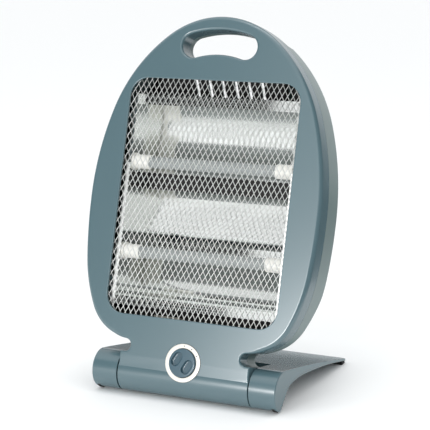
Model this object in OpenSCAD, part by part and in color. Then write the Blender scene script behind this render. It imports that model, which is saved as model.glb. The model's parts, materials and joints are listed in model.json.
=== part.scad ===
// Two-tube quartz heater: an egg-shaped casing with a handle hole stands on a
// barrel hinge, leans back a little, and turns on a wide foot plate.
// u runs across the casing, v up its face from the hinge, w out of its front.

/* [Casing] */
// Half of the width at the widest place
case_half_w = 129; // [124:1:140]
// Distance from the hinge axis to the front face
front_w = 20.2; // [19.4:0.2:24]
// Distance from the hinge axis to the flat back
back_w = 33; // [31:0.5:40]
// Height of the parting line above the hinge axis plane
part_w = 1; // [0:0.5:3]
// Wall of both mouldings
wall = 2.2; // [1.8:0.1:2.6]
// Radius of the front edge
front_edge = 4.2; // [3:0.1:6]
// Radius of the back edge
back_edge = 6.2; // [5:0.1:8]
// Radius of the long shoulder curve
shoulder_r = 310; // [290:5:330]
// Radius of the curve below the crown
crest_r = 165; // [155:1:175]
// Radius of the hip curve below the widest place
hip_r = 520; // [480:10:560]
// Radius of the flank curve
flank_r = 168; // [160:1:176]
// Radius of the two lower corners
corner_r = 50; // [44:1:54]
// Straight height at the widest place
side_h = 2; // [1:0.5:10]

/* [Handle] */
// Half of the width of the handle hole
hole_half_w = 41.7; // [38:0.1:46]
// Height of the hole at its round ends
hole_end_r = 12.8; // [12:0.1:15]
// Radius of the top curve of the hole
hole_top_r = 112; // [100:1:124]
// Distance from the top of the hole to the top of the casing
hole_gap = 14.4; // [12:0.1:17]
// Radius of the rounded front lip of the hole
hole_lip = 2.4; // [1:0.1:3]
// Depth of the handle hole from front to back
handle_depth = 28.7; // [26:0.1:34]
// Half of the width of the hand recess in the back
scoop_half_w = 62; // [54:1:63]

/* [Grille window] */
// Width of the frame beside the window, at the widest place of the casing
side_frame = 34; // [32:0.5:37]
// Height of the casing above the window
crown_h = 66.9; // [64:0.1:70]
// Distance from the bottom of the casing to the window
win_lift = 25; // [23:0.5:30]
// Corner radius of the window
win_r = 20; // [14:0.5:24]
// Width of one diamond of the grille
mesh_w = 6.1; // [5.6:0.1:8]
// Height of one diamond of the grille
mesh_h = 11; // [10:0.1:14]
// Width of a grille strand
strand_w = 1; // [0.8:0.05:1.2]
// Thickness of a grille strand
strand_t = 0.55; // [0.4:0.05:0.6]
// Width of the rim that carries the strands
rim_w = 3; // [2.5:0.1:3.5]

/* [Hinge and foot] */
// Outer radius of the hinge barrels
barrel_r = 20.2; // [19.4:0.1:21]
// Half of the length of the middle barrel
barrel_half = 72.6; // [71:0.1:74]
// Gap between the middle barrel and each end barrel
barrel_gap = 1.2; // [1:0.1:1.4]
// Half of the width of the foot
foot_half_w = 102.2; // [100:0.2:108]
// Reach of the foot behind the hinge axis
foot_reach = 188.6; // [180:0.2:200]
// Wall of the foot moulding
foot_wall = 2.4; // [2:0.1:2.8]
// Angle that the casing leans back at rest
lean = 15.5; // [12:0.5:18]
// Radius of the hinge pins
pin_r = 4; // [3.5:0.1:4.5]
// Clearance between a hinge pin and its bush
pin_play = 0.05; // [0.02:0.01:0.1]
// Height that the rubber feet stand proud
pad_proud = 0.5; // [0.4:0.1:1]

/* [Neck] */
// Radius of the round notches beside the neck
notch_r = 6.5; // [6:0.1:7]
// Half of the width of the neck at the notches
neck_half = 67.7; // [66:0.1:69]

/* [Heating] */
// Outer radius of a quartz tube
tube_r = 6.25; // [5.5:0.05:6.6]
// Wall of a quartz tube
tube_wall = 1.2; // [1:0.1:1.5]
// Distance between the axes of the two tubes
tube_pitch = 94; // [90:1:98]
// Radius of the ceramic end pieces
ceramic_r = 7.4; // [7.2:0.1:8]
// Thickness of the sheet metal parts
sheet_t = 0.6; // [0.5:0.05:0.8]
// Distance from a cheek to the edge of the window
cheek_gap = 5; // [4:0.5:6.5]

/* [Dial] */
// Outer radius of the dial ring
dial_r = 19.3; // [18.6:0.1:20]
// Radius of the knob
knob_r = 14.5; // [13.5:0.1:15]
// Height of the knob above the front face
knob_proud = 3; // [2:0.1:5]
// Depth of the round well that the knob sits in
well_depth = 9; // [8:0.1:10]
// Height of the dial's centre above the hinge axis
dial_v = 15.65; // [15:0.05:17]

/* [Hidden] */
$fn = 48;
eps = 0.01;
fit = 0.1;
seat = 0.05;

// The knob's lower edge reaches furthest forward, the foot's tip furthest back
knob_high = front_w + knob_proud;
knob_edge = 1;
front_reach = knob_high * cos(lean) - (dial_v - knob_r + knob_edge) * sin(lean);
hinge_z = barrel_r + pad_proud;
hinge_y = (front_reach - foot_reach) / 2;

// Turns of the outline's arcs, in degrees away from the vertical
shoulder_turn = 18;
crest_turn = 34;
hip_turn = 6.5;
flank_turn = 18.5;
low_turn = hip_turn + flank_turn;
high_turn = shoulder_turn + crest_turn;
draft = 0.5;

case_bottom = barrel_r + 2 * notch_r;
hip_drop = hip_r * sin(hip_turn);
flank_drop = flank_r * (sin(low_turn) - sin(hip_turn));
corner_drop = corner_r * (1 - sin(low_turn));
side_low_v = case_bottom + hip_drop + flank_drop + corner_drop;
side_high_v = side_low_v + side_h;
shoulder_in = shoulder_r * (1 - cos(shoulder_turn));
crest_in = crest_r * (cos(shoulder_turn) - cos(high_turn));
crown_r = (case_half_w - shoulder_in - crest_in) / cos(high_turn);
shoulder_rise = shoulder_r * sin(shoulder_turn);
crest_rise = crest_r * (sin(high_turn) - sin(shoulder_turn));
crown_rise = crown_r * (1 - sin(high_turn));
case_top = side_high_v + shoulder_rise + crest_rise + crown_rise;
hip_in = hip_r * (1 - cos(hip_turn));
flank_in = flank_r * (cos(hip_turn) - cos(low_turn));
flat_half = case_half_w - hip_in - flank_in - corner_r * cos(low_turn);

win_half_w = case_half_w - side_frame;
win_low = case_bottom + win_lift;
win_high = case_top - crown_h;
win_h = win_high - win_low;
win_mid = (win_low + win_high) / 2;

// The hand recess and the sloping lower part of the back
scoop_overlap = 17;
scoop_slope_h = 32;
back_slope_h = 62;
scoop_w = front_w - handle_depth;
scoop_low = win_high - scoop_overlap;
scoop_flat = scoop_low + scoop_slope_h;
back_low = case_bottom + back_slope_h;

// The tubes hang a little below the middle of the window
tube_drop = 10.7;
tube_mid = win_mid - tube_drop;
upper_v = tube_mid + tube_pitch / 2;
lower_v = tube_mid - tube_pitch / 2;
cheek_u = win_half_w - cheek_gap;

// ---- Frames ---------------------------------------------------------------

// Puts a shape drawn in u, v, w in its place on the leaning casing
module on_casing()
  translate([0, hinge_y, hinge_z])
    rotate([90 - lean, 0, 0])
      children();

// Puts a shape drawn from the hinge axis in its place on the foot
module on_foot()
  translate([0, hinge_y, hinge_z])
    children();

// Extrudes an outline of (v, w) or (y, z) points along the width
module across(from, to)
  translate([from, 0, 0])
    rotate([90, 0, 90])
      linear_extrude(to - from)
        children();

// A plain cylinder along the width
module axle(r, from, to)
  translate([from, 0, 0])
    rotate([0, 90, 0])
      cylinder(r = r, h = to - from);

module both_sides()
  for (side = [0, 1])
    mirror([side, 0, 0])
      children();

// ---- Outlines -------------------------------------------------------------

// Points of an arc that leaves p at an angle from the vertical and turns inwards
function bow(p, from, r, turn, up, n) = [
  for (i = [1:n])
    let (a = from + turn * i / n)
      [p.x - r * (cos(from) - cos(a)), p.y + up * r * (sin(a) - sin(from))]
];

function last(list) = list[len(list) - 1];

function reversed(list) = [for (i = [len(list) - 1:-1:0]) list[i]];

function mirrored(list) = [for (p = list) [-p.x, p.y]];

// Right half of the casing outline, drawn in by d, from its bottom to its top
function casing_side(d) =
  let (
    low = [case_half_w - d, side_low_v],
    high = [case_half_w - d, side_high_v],
    hip = bow(low, 0, hip_r - d, hip_turn, -1, 3),
    flank = bow(last(hip), hip_turn, flank_r - d, flank_turn, -1, 5),
    corner = bow(last(flank), low_turn, corner_r - d, 90 - low_turn, -1, 12),
    shoulder = bow(high, 0, shoulder_r - d, shoulder_turn, 1, 5),
    crest = bow(last(shoulder), shoulder_turn, crest_r - d, crest_turn, 1, 7),
    crown = bow(last(crest), high_turn, crown_r - d, 90 - high_turn, 1, 7)
  )
  concat(reversed(concat([low], hip, flank, corner)), [high], shoulder, crest, crown);

function casing_outline(d) =
  let (
    side = casing_side(d),
    rest = [for (i = [0:len(side) - 2]) side[i]]
  )
  concat(side, reversed(mirrored(rest)));

// Half bean of the handle hole, grown by d, from its top middle to its bottom
hole_top = case_top - hole_gap;
hole_focus = hole_top - hole_top_r;
hole_turn = asin((hole_half_w - hole_end_r) / (hole_top_r - hole_end_r));
hole_end = [
  hole_half_w - hole_end_r,
  hole_focus + (hole_top_r - hole_end_r) * cos(hole_turn)
];
dip_r = norm(hole_end - [0, hole_focus]) - hole_end_r;

function hole_half(d) = concat(
  [
    for (i = [0:4])
      let (a = 90 - hole_turn * i / 4)
        [(hole_top_r + d) * cos(a), hole_focus + (hole_top_r + d) * sin(a)]
  ],
  [
    for (i = [1:12])
      let (a = 90 - hole_turn - 180 * i / 12)
        hole_end + (hole_end_r + d) * [cos(a), sin(a)]
  ],
  [
    for (i = [1:3])
      let (a = 90 - hole_turn + hole_turn * i / 4)
        [(dip_r - d) * cos(a), hole_focus + (dip_r - d) * sin(a)]
  ]
);

function hole_outline(d) =
  let (
    half = hole_half(d),
    dip = [0, hole_focus + dip_r - d],
    rest = [for (i = [1:len(half) - 1]) half[i]]
  )
  concat(mirrored(rest), [dip], reversed(half));

// Closed solid through a stack of rings, lowest first; each ring has as many points
module loft(rings) {
  n = len(rings[0]);
  top = len(rings) - 1;
  polyhedron(
    points = [for (ring = rings) each ring],
    faces = concat(
      [[for (i = [0:n - 1]) i]],
      [[for (i = [n - 1:-1:0]) top * n + i]],
      [
        for (k = [0:top - 1])
          for (i = [0:n - 1])
            let (
              j = (i + 1) % n,
              a = k * n,
              b = a + n
            )
            each [[a + i, b + i, b + j], [a + i, b + j, a + j]]
      ]
    )
  );
}

function casing_ring(w, inset) = [for (p = casing_outline(inset)) [p.x, p.y, w]];

function hole_ring(w, d) = [for (p = hole_outline(d)) [p.x, p.y, w]];

module rounded_slab(half_w, low, high, r)
  union() {
    translate([-half_w + r, low])
      square([2 * (half_w - r), high - low]);
    translate([-half_w, low + r])
      square([2 * half_w, high - low - 2 * r]);
    for (u = [-half_w + r, half_w - r])
      for (v = [low + r, high - r])
        translate([u, v])
          circle(r);
  }

module upright_slot(w, low, high)
  union() {
    translate([-w / 2, low])
      square([w, high - low]);
    for (v = [low, high])
      translate([0, v])
        circle(w / 2);
  }

// ---- Casing shells --------------------------------------------------------

edge_steps = 3;

// Solid of the front moulding, drawn in by t on every outer face
module front_solid(t) {
  edge = front_edge - t;
  loft(concat(
    [casing_ring(part_w - t, t)],
    [
      for (i = [0:edge_steps])
        let (a = 90 * i / edge_steps)
          casing_ring(front_w - t - edge * (1 - sin(a)), draft + t + edge * (1 - cos(a)))
    ]
  ));
}

back_slope = (back_w - barrel_r) / (back_low - case_bottom);

// Solid of the rear moulding, drawn in by t, with its sloping foot and hand recess
module rear_solid(t) {
  edge = back_edge - t;
  difference() {
    loft(concat(
      [
        for (i = [edge_steps:-1:0])
          let (a = 90 * i / edge_steps)
            casing_ring(-back_w + t + edge * (1 - sin(a)), draft + t + edge * (1 - cos(a)))
      ],
      [casing_ring(part_w + t, t)]
    ));
    across(-case_half_w, case_half_w)
      polygon([
        [case_bottom - 30, t - barrel_r + 30 * back_slope],
        [back_low, t - back_w],
        [back_low, -back_w - 10],
        [case_bottom - 30, -back_w - 10]
      ]);
    across(-scoop_half_w - t, scoop_half_w + t)
      polygon([
        [scoop_low - t, -back_w - 10],
        [scoop_low - t, t - back_w],
        [scoop_flat - t, scoop_w + t],
        [case_top + 10, scoop_w + t],
        [case_top + 10, -back_w - 10]
      ]);
  }
}

notch_v = barrel_r + notch_r;
neck_top_half = flat_half - 1;
neck_top = case_bottom + front_edge + back_edge;

module neck_plan(inset)
  difference() {
    union() {
      translate([-neck_half + inset, 0])
        square([2 * (neck_half - inset), notch_v]);
      translate([-neck_top_half + inset, 0])
        square([2 * (neck_top_half - inset), neck_top]);
    }
    for (side = [-1, 1])
      translate([side * neck_half, notch_v])
        circle(notch_r + inset);
  }

// One half of the neck and middle barrel; the half ends at the parting line
module barrel_half_solid(low, high, inset)
  union() {
    translate([0, 0, low])
      linear_extrude(high - low)
        neck_plan(inset);
    intersection() {
      axle(barrel_r - inset, -barrel_half + inset, barrel_half - inset);
      translate([-barrel_half, -barrel_r, low])
        cube([2 * barrel_half, 2 * barrel_r, high - low]);
    }
  }

bush_r = pin_r + 2.2;
bush_w = 4;

// Collar that holds the hinge bush inside each end of the middle barrel
module bush_collar()
  both_sides()
    axle(bush_r + 2.4, barrel_half - wall - bush_w, barrel_half - wall / 2);

module bush_bore()
  both_sides()
    axle(bush_r, barrel_half - wall - bush_w - eps, barrel_half + 1);

// Case screws: four along the sides, two beside the handle, two in the neck
boss_r = 4;
screw_r = 1.45;
pilot_r = screw_r - seat;
pilot_h = 12;
neck_screw_in = 20;
head_r = 3;
head_h = 2.2;
shoulder_w = -6;
case_screw_at = [
  [case_half_w - 17, side_low_v - 63],
  [case_half_w - 17, side_high_v + 57],
  [scoop_half_w + wall + boss_r + 2, scoop_flat - 3],
  [neck_half - neck_screw_in, case_bottom - notch_r]
];

module at_case_screws()
  both_sides()
    for (p = case_screw_at)
      translate([p.x, p.y, 0])
        children();

// The dial's well in the front of the neck
well_r = knob_r + 0.4;
well_floor_w = front_w - well_depth;
shaft_r = 3;
thread_r = 4.6;
nut_h = 2;
shaft_play = 0.05;
shaft_in = 3;

module at_dial()
  translate([0, dial_v, 0])
    children();

// Posts for the cheeks and for the grille rim, on the back of the front wall
cheek_w = 11;
cheek_wing = 16;
cheek_low = win_low + 9;
cheek_high = win_high - 12;
post_u = cheek_u + 11.5;
post_r = 3.2;
cheek_post_v = [cheek_low + 26, cheek_high - 26];
ear_v = [win_low + win_r + 1, win_mid, win_high - win_r - 3];
ear_u = win_half_w + rim_w + 2.6;
ear_pilot_r = 1.2;
front_inner = front_w - wall;
rim_t = 1;

module at_cheek_posts()
  both_sides()
    for (v = cheek_post_v)
      translate([post_u, v, 0])
        children();

module at_ears()
  both_sides()
    for (v = ear_v)
      translate([ear_u, v, 0])
        children();

module front_shell()
  color("#7d919b")
    on_casing()
      difference() {
        union() {
          difference() {
            union() {
              front_solid(0);
              barrel_half_solid(part_w, front_w, 0);
            }
            front_solid(wall);
            barrel_half_solid(part_w - 1, front_inner, wall);
          }
          intersection() {
            bush_collar();
            translate([-barrel_half, -barrel_r, part_w])
              cube([2 * barrel_half, 2 * barrel_r, barrel_r]);
          }
          translate([0, 0, part_w])
            linear_extrude(front_inner - part_w + eps)
              polygon(hole_outline(wall));
          at_case_screws()
            translate([0, 0, part_w])
              cylinder(r = boss_r, h = front_inner - part_w + eps);
          at_cheek_posts()
            translate([0, 0, cheek_w])
              cylinder(r = post_r, h = front_inner - cheek_w + eps);
          at_dial()
            translate([0, 0, well_floor_w - wall])
              cylinder(r = well_r + wall, h = well_depth);
        }
        translate([0, 0, front_inner - 1])
          linear_extrude(wall + 2)
            rounded_slab(win_half_w, win_low, win_high, win_r);
        loft([
          hole_ring(part_w - 1, 0),
          for (i = [0:edge_steps])
            let (a = 90 * i / edge_steps)
              hole_ring(front_w - hole_lip * (1 - sin(a)), hole_lip * (1 - cos(a))),
          hole_ring(front_w + 1, hole_lip)
        ]);
        bush_bore();
        at_case_screws()
          translate([0, 0, part_w - 1])
            cylinder(r = pilot_r, h = pilot_h + 1);
        at_cheek_posts()
          translate([0, 0, cheek_w - 1])
            cylinder(r = pilot_r, h = 7);
        at_ears()
          translate([0, 0, front_inner - 1])
            cylinder(r = ear_pilot_r + eps, h = 1 + 1.6);
        at_dial() {
          translate([0, 0, well_floor_w])
            cylinder(r = well_r, h = well_depth + 1);
          translate([0, 0, well_floor_w - wall - 1])
            cylinder(r = thread_r + fit, h = wall + 2);
          translate([0, 0, front_w - ring_sunk])
            cylinder(r = dial_r + seat, h = ring_sunk + 1);
        }
      }

vent_w = 3.2;
vent_pitch = 14.9;
vent_count = 6;
gland_r = 6;
gland_in = 25;
gland_lift = 12;
gland_at = [gland_in - win_half_w, back_low + gland_lift];

module vent_row(count, low, high)
  for (i = [0:count - 1])
    translate([(i - (count - 1) / 2) * vent_pitch, 0, -back_w - 1])
      linear_extrude(back_w + scoop_w - 2)
        upright_slot(vent_w, low, high);

module rear_shell()
  color("#8a9a98")
    on_casing()
      difference() {
        union() {
          difference() {
            union() {
              rear_solid(0);
              barrel_half_solid(-barrel_r, part_w, 0);
            }
            rear_solid(wall);
            barrel_half_solid(wall - barrel_r, part_w + 1, wall);
          }
          intersection() {
            bush_collar();
            translate([-barrel_half, -barrel_r, part_w - barrel_r])
              cube([2 * barrel_half, 2 * barrel_r, barrel_r]);
          }
          translate([0, 0, scoop_w + eps])
            linear_extrude(part_w - scoop_w - eps)
              polygon(hole_outline(wall));
          intersection() {
            at_case_screws()
              translate([0, 0, -back_w])
                cylinder(r = boss_r, h = back_w + part_w);
            union() {
              rear_solid(0.5);
              barrel_half_solid(0.5 - barrel_r, part_w, 0.5);
            }
          }
        }
        translate([0, 0, -back_w])
          linear_extrude(2 * back_w)
            polygon(hole_outline(0));
        bush_bore();
        at_case_screws() {
          translate([0, 0, -back_w - 1])
            cylinder(r = head_r + 0.2, h = back_w + 1 + shoulder_w);
          translate([0, 0, -back_w])
            cylinder(r = screw_r + fit, h = back_w + 5);
        }
        vent_row(vent_count, scoop_low + 8, scoop_flat - 5);
        vent_row(vent_count, back_low - 12, back_low + 14);
        translate([gland_at.x, gland_at.y, -back_w - 1])
          cylinder(r = gland_r, h = wall + 2);
      }

module case_screws()
  color("silver")
    on_casing()
      at_case_screws() {
        translate([0, 0, shoulder_w - head_h])
          difference() {
            cylinder(r = head_r, h = head_h);
            for (turn = [0, 90])
              rotate(turn)
                translate([-2, -0.4, -eps])
                  cube([4, 0.8, 1]);
          }
        translate([0, 0, shoulder_w])
          cylinder(r = screw_r - seat, h = part_w + pilot_h - 1 - shoulder_w);
      }

// ---- Grille ---------------------------------------------------------------

rim_low_w = front_inner - rim_t;
mesh_turn = atan(mesh_h / mesh_w);
strand_gap = mesh_w * sin(mesh_turn);

// One layer of parallel strands that lean to one side and end on the rim
module strand_layer(turn) {
  reach = (win_half_w * sin(mesh_turn) + win_h / 2 * cos(mesh_turn)) + rim_w;
  n = floor(reach / strand_gap);
  intersection() {
    rounded_slab(win_half_w + rim_w - 0.6, win_low - rim_w + 0.6, win_high + rim_w - 0.6, win_r);
    translate([0, win_mid])
      rotate(turn)
        for (i = [-n:n])
          translate([-win_h, i * strand_gap - strand_w / 2])
            square([2 * win_h, strand_w]);
  }
}

module grille()
  color("silver")
    on_casing() {
      translate([0, 0, rim_low_w])
        linear_extrude(rim_t)
          difference() {
            union() {
              rounded_slab(win_half_w + rim_w, win_low - rim_w, win_high + rim_w, win_r);
              at_ears()
                circle(3.4);
            }
            rounded_slab(win_half_w + 0.6, win_low - 0.6, win_high + 0.6, win_r);
            at_ears()
              circle(ear_pilot_r + fit);
          }
      translate([0, 0, rim_low_w - strand_t])
        linear_extrude(strand_t)
          strand_layer(mesh_turn);
      translate([0, 0, rim_low_w - 2 * strand_t - seat])
        linear_extrude(strand_t)
          strand_layer(-mesh_turn);
    }

module grille_screws()
  color("silver")
    on_casing()
      at_ears() {
        translate([0, 0, rim_low_w - 1.2])
          cylinder(r = 2.2, h = 1.2);
        translate([0, 0, rim_low_w - eps])
          cylinder(r = ear_pilot_r, h = rim_t + 1.4);
      }

// ---- Reflector and cheeks -------------------------------------------------

// Sheet of thickness t along a path, with the sheet on its left
function edge_normal(a, b) =
  let (d = (b - a) / norm(b - a))
    [-d.y, d.x];

function beside(path, t) = [
  for (i = [0:len(path) - 1])
    let (
      before = i > 0 ? edge_normal(path[i - 1], path[i]) : edge_normal(path[0], path[1]),
      after = i < len(path) - 1 ? edge_normal(path[i], path[i + 1]) : before,
      mean = before + after
    )
    path[i] + mean * (2 * t / (mean * mean))
];

module sheet(path, t)
  polygon(concat(path, reversed(beside(path, t))));

// Reflector section in (v, w): a trough behind each tube and a flat ridge between
tube_w = 1.5;
back_room = 4.5;
trough_w = back_room - back_w;
upper_lip_w = 3;
lower_lip_w = 0;
upper_lip_v = win_high - 25.8;
lower_lip_v = win_low + 17.6;
upper_bow_v = upper_v - 8;
lower_bow_v = lower_v + 5;

// Radius of a bow that is deepest at the trough's floor and passes run, rise from there
function bow_radius(run, rise) = (run * run + rise * rise) / (2 * rise);

upper_bow_r = bow_radius(upper_lip_v - upper_bow_v, upper_lip_w - trough_w);
lower_bow_r = bow_radius(lower_bow_v - lower_lip_v, lower_lip_w - trough_w);
upper_bow_at = [upper_bow_v, trough_w + upper_bow_r];
lower_bow_at = [lower_bow_v, trough_w + lower_bow_r];
upper_bow_end = -acos((upper_bow_at.y - upper_lip_w) / upper_bow_r);
lower_bow_end = acos((lower_bow_at.y - lower_lip_w) / lower_bow_r);
lip_h = 9;
ridge_drop = 24;
ridge_v = tube_mid - ridge_drop;
ridge_h = 15;
ridge_rise = 8;
ridge_w = trough_w + ridge_rise;

// Points of a trough round a tube; the angles are measured from its deepest line
function trough(centre, r, from, to, n) = [
  for (i = [0:n])
    let (a = from + (to - from) * i / n)
      centre + r * [-sin(a), -cos(a)]
];

upper_trough = trough(upper_bow_at, upper_bow_r, upper_bow_end, 0, 7);
lower_trough = trough(lower_bow_at, lower_bow_r, 0, lower_bow_end, 7);
reflector_path = concat(
  [upper_trough[0] + [lip_h + 2, 0]],
  upper_trough,
  [[ridge_v + ridge_h + 4, trough_w], [ridge_v + ridge_h, ridge_w]],
  [[ridge_v, ridge_w], [ridge_v - 8, trough_w]],
  lower_trough,
  [last(lower_trough) - [lip_h, 0]]
);

module reflector()
  color("#d8dcdc")
    on_casing()
      across(-cheek_u, cheek_u)
        sheet(reflector_path, sheet_t);

// The rear lower corner of a cheek is cut off along the sloping back wall
cheek_clear = 0.5;
cheek_back_w = trough_w - 1;
cheek_foot_w = wall - barrel_r - back_slope * (cheek_low - case_bottom) + cheek_clear;

module cheek_blank()
  difference() {
    polygon([
      [cheek_low, cheek_w],
      [cheek_low, cheek_foot_w],
      [cheek_low + (cheek_foot_w - cheek_back_w) / back_slope, cheek_back_w],
      [cheek_high, cheek_back_w],
      [cheek_high, cheek_w]
    ]);
    for (v = [lower_v, upper_v])
      translate([v, tube_w])
        circle(ceramic_r + fit);
  }

module right_cheek_solid()
  union() {
    across(cheek_u, cheek_u + sheet_t)
      cheek_blank();
    translate([cheek_u, cheek_low, cheek_w - sheet_t])
      difference() {
        union() {
          cube([6, cheek_high - cheek_low, sheet_t]);
          for (v = cheek_post_v)
            translate([0, v - cheek_low - 7, 0])
              cube([cheek_wing, 14, sheet_t]);
        }
        for (v = cheek_post_v)
          translate([post_u - cheek_u, v - cheek_low, -1])
            cylinder(r = screw_r + fit, h = sheet_t + 2);
      }
  }

module right_cheek()
  color("silver")
    on_casing()
      right_cheek_solid();

module left_cheek()
  color("silver")
    on_casing()
      mirror([1, 0, 0])
        right_cheek_solid();

module cheek_screws()
  color("silver")
    on_casing()
      at_cheek_posts() {
        translate([0, 0, cheek_w - sheet_t - 1.8])
          cylinder(r = 2.6, h = 1.8);
        translate([0, 0, cheek_w - sheet_t - eps])
          cylinder(r = screw_r - seat, h = sheet_t + 5.5);
      }

// ---- Tubes ----------------------------------------------------------------

ceramic_in = 19;
ceramic_out = 9;
tube_in = 7;
tube_half = cheek_u - ceramic_in + tube_in;

module at_tube(v)
  translate([0, v, tube_w])
    children();

module quartz_tube(v)
  color("#e8f0f0")
    on_casing()
      at_tube(v)
        difference() {
          axle(tube_r, -tube_half, tube_half);
          axle(tube_r - tube_wall, -tube_half - 1, tube_half + 1);
        }

module upper_tube() quartz_tube(upper_v);

module lower_tube() quartz_tube(lower_v);

// Heating coil: a four-sided wire wound in a helix
coil_r = tube_r - tube_wall - 0.9;
wire_r = 0.6;
coil_turns = 26;
turn_steps = 8;

module heating_coil(v)
  color("#8a6f5a")
    on_casing()
      at_tube(v) {
        half = tube_half - 1;
        n = coil_turns * turn_steps;
        loft([
          for (i = [0:n])
            let (
              a = 360 * i / turn_steps,
              x = -half + 2 * half * i / n
            )
            [
              for (side = [0:3])
                let (r = coil_r + wire_r * cos(90 * side))
                  [x + wire_r * sin(90 * side), r * cos(a), r * sin(a)]
            ]
        ]);
      }

module upper_coil() heating_coil(upper_v);

module lower_coil() heating_coil(lower_v);

module ceramic_ends()
  color("ivory")
    on_casing()
      for (v = [lower_v, upper_v])
        at_tube(v)
          both_sides()
            difference() {
              union() {
                axle(ceramic_r, cheek_u - ceramic_in, cheek_u + ceramic_out);
                axle(ceramic_r + 1.6, cheek_u - 2.5, cheek_u);
              }
              axle(tube_r + seat, cheek_u - ceramic_in - 1, tube_half);
              axle(1.6, tube_half - 1, cheek_u + ceramic_out + 1);
            }

module tube_terminals()
  color("silver")
    on_casing()
      for (v = [lower_v, upper_v])
        at_tube(v)
          both_sides() {
            axle(1.6 - seat, tube_half + 0.5, cheek_u + ceramic_out + 4);
            axle(3.4, cheek_u + ceramic_out, cheek_u + ceramic_out + 1);
          }

// Spring clips that grip the ceramic ends outside the cheeks
clip_out = ceramic_out - 4;

module tube_clips()
  color("silver")
    on_casing()
      for (v = [lower_v, upper_v])
        at_tube(v)
          both_sides()
            across(cheek_u + sheet_t, cheek_u + sheet_t + clip_out)
              difference() {
                circle(ceramic_r + seat + 0.8);
                circle(ceramic_r + seat);
                translate([0, 8])
                  square([4, 12], center = true);
              }

// ---- Dial, knob and switch ------------------------------------------------

ring_sunk = 0.8;
ring_proud = 0.8;

module dial_ring()
  color("#e6e8e6")
    on_casing()
      at_dial()
        difference() {
          translate([0, 0, front_w - ring_sunk])
            cylinder(r = dial_r, h = ring_sunk + ring_proud, $fn = 96);
          cylinder(r = well_r, h = front_w + 5, $fn = 96);
          for (turn = [0, 30, 60])
            rotate(-turn)
              translate([0, (dial_r + well_r) / 2, front_w + ring_proud - 0.2])
                cylinder(r = 0.6, h = 1);
        }

knob_low = well_floor_w + 0.4;
grip_half = 2.2;
finger_r = 4;
finger_run = 4;
grip_turn = 30;
finger_depth = 3;
stem_flat = 0.8;
nut_room = thread_r + 3.2;
shaft_top = knob_high - finger_depth - 1;

// Shaft section with one flat, r wide
module shaft_section(r)
  difference() {
    circle(r);
    translate([-r, r - stem_flat])
      square([2 * r, r]);
  }

module knob()
  color("#4f6372")
    on_casing()
      at_dial()
        rotate(-grip_turn)
          difference() {
            union() {
              translate([0, 0, knob_low])
                cylinder(r = knob_r, h = knob_high - knob_low - knob_edge);
              translate([0, 0, knob_high - knob_edge])
                cylinder(r1 = knob_r, r2 = knob_r - knob_edge, h = knob_edge);
            }
            for (side = [-1, 1])
              translate([side * (grip_half + finger_r), 0, knob_high - finger_depth])
                linear_extrude(finger_depth + 1)
                  upright_slot(2 * finger_r, -finger_run, finger_run);
            translate([0, 0, knob_low - 1])
              cylinder(r = nut_room, h = nut_h + 1.4);
            translate([0, 0, knob_low])
              linear_extrude(shaft_top - knob_low + seat)
                shaft_section(shaft_r + seat);
          }

switch_w = well_floor_w - wall;
switch_h = 10;
switch_half = 12;
shaft_step = well_floor_w + nut_h + 0.4;

module switch_shaft()
  color("silver")
    on_casing()
      at_dial()
        rotate(-grip_turn) {
          translate([0, 0, shaft_step])
            linear_extrude(shaft_top - shaft_step)
              shaft_section(shaft_r);
          translate([0, 0, switch_w - shaft_in])
            cylinder(r = shaft_r, h = shaft_step - switch_w + shaft_in + eps);
        }

// Rotary switch behind the well, held by its threaded bush and a nut
module selector_switch()
  color("#2c2c2e")
    on_casing()
      at_dial()
        difference() {
          union() {
            translate([-switch_half, -switch_half, switch_w - switch_h])
              cube([2 * switch_half, 2 * switch_half, switch_h]);
            translate([0, 0, switch_w - eps])
              cylinder(r = thread_r, h = wall + nut_h + eps);
            for (u = [-6, 0, 6])
              translate([u - 1.5, -switch_half + 3, switch_w - switch_h - 6])
                cube([3, 0.8, 6 + eps]);
          }
          translate([0, 0, switch_w - shaft_in - seat])
            cylinder(r = shaft_r + shaft_play, h = switch_h + 20);
        }

module switch_nut()
  color("silver")
    on_casing()
      at_dial()
        translate([0, 0, well_floor_w])
          difference() {
            cylinder(r = thread_r + 2.4, h = nut_h, $fn = 6);
            translate([0, 0, -1])
              cylinder(r = thread_r, h = nut_h + 2);
          }

// ---- Hinge ----------------------------------------------------------------

module hinge_bushes()
  color("ivory")
    on_casing()
      both_sides()
        difference() {
          union() {
            axle(bush_r - seat, barrel_half - wall - bush_w, barrel_half);
            axle(bush_r + 1.8, barrel_half - wall - bush_w - 1, barrel_half - wall - bush_w);
          }
          axle(pin_r + pin_play, barrel_half - wall - bush_w - 2, barrel_half + 1);
        }

bush_inner = barrel_half - wall - bush_w - 1;
spring_gap = 0.15;
spring_t = 1.4;
nut_t = 6;
pin_tip = bush_inner - spring_gap - spring_t - nut_t - 1.5;
end_inner = barrel_half + barrel_gap;
pin_root = 6;
pin_head_u = end_inner + foot_wall + pin_root;

// Pins with a hexagon head inside the end barrels, fast in the foot
module hinge_pins()
  color("silver")
    on_foot()
      both_sides()
        union() {
          axle(pin_r, pin_tip, pin_head_u + eps);
          translate([pin_head_u, 0, 0])
            rotate([0, 90, 0])
              cylinder(r = 7.5, h = 5, $fn = 6);
        }

module disc_springs()
  color("silver")
    on_foot()
      both_sides()
        difference() {
          axle(pin_r + 3.2, bush_inner - spring_gap - spring_t, bush_inner - spring_gap);
          axle(pin_r, 0, barrel_half);
        }

module lock_nuts()
  color("silver")
    on_foot()
      both_sides()
        difference() {
          translate([bush_inner - spring_gap - spring_t - nut_t, 0, 0])
            rotate([0, 90, 0])
              cylinder(r = 7.2, h = nut_t, $fn = 6);
          axle(pin_r, 0, barrel_half);
        }

// ---- Foot -----------------------------------------------------------------

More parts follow.
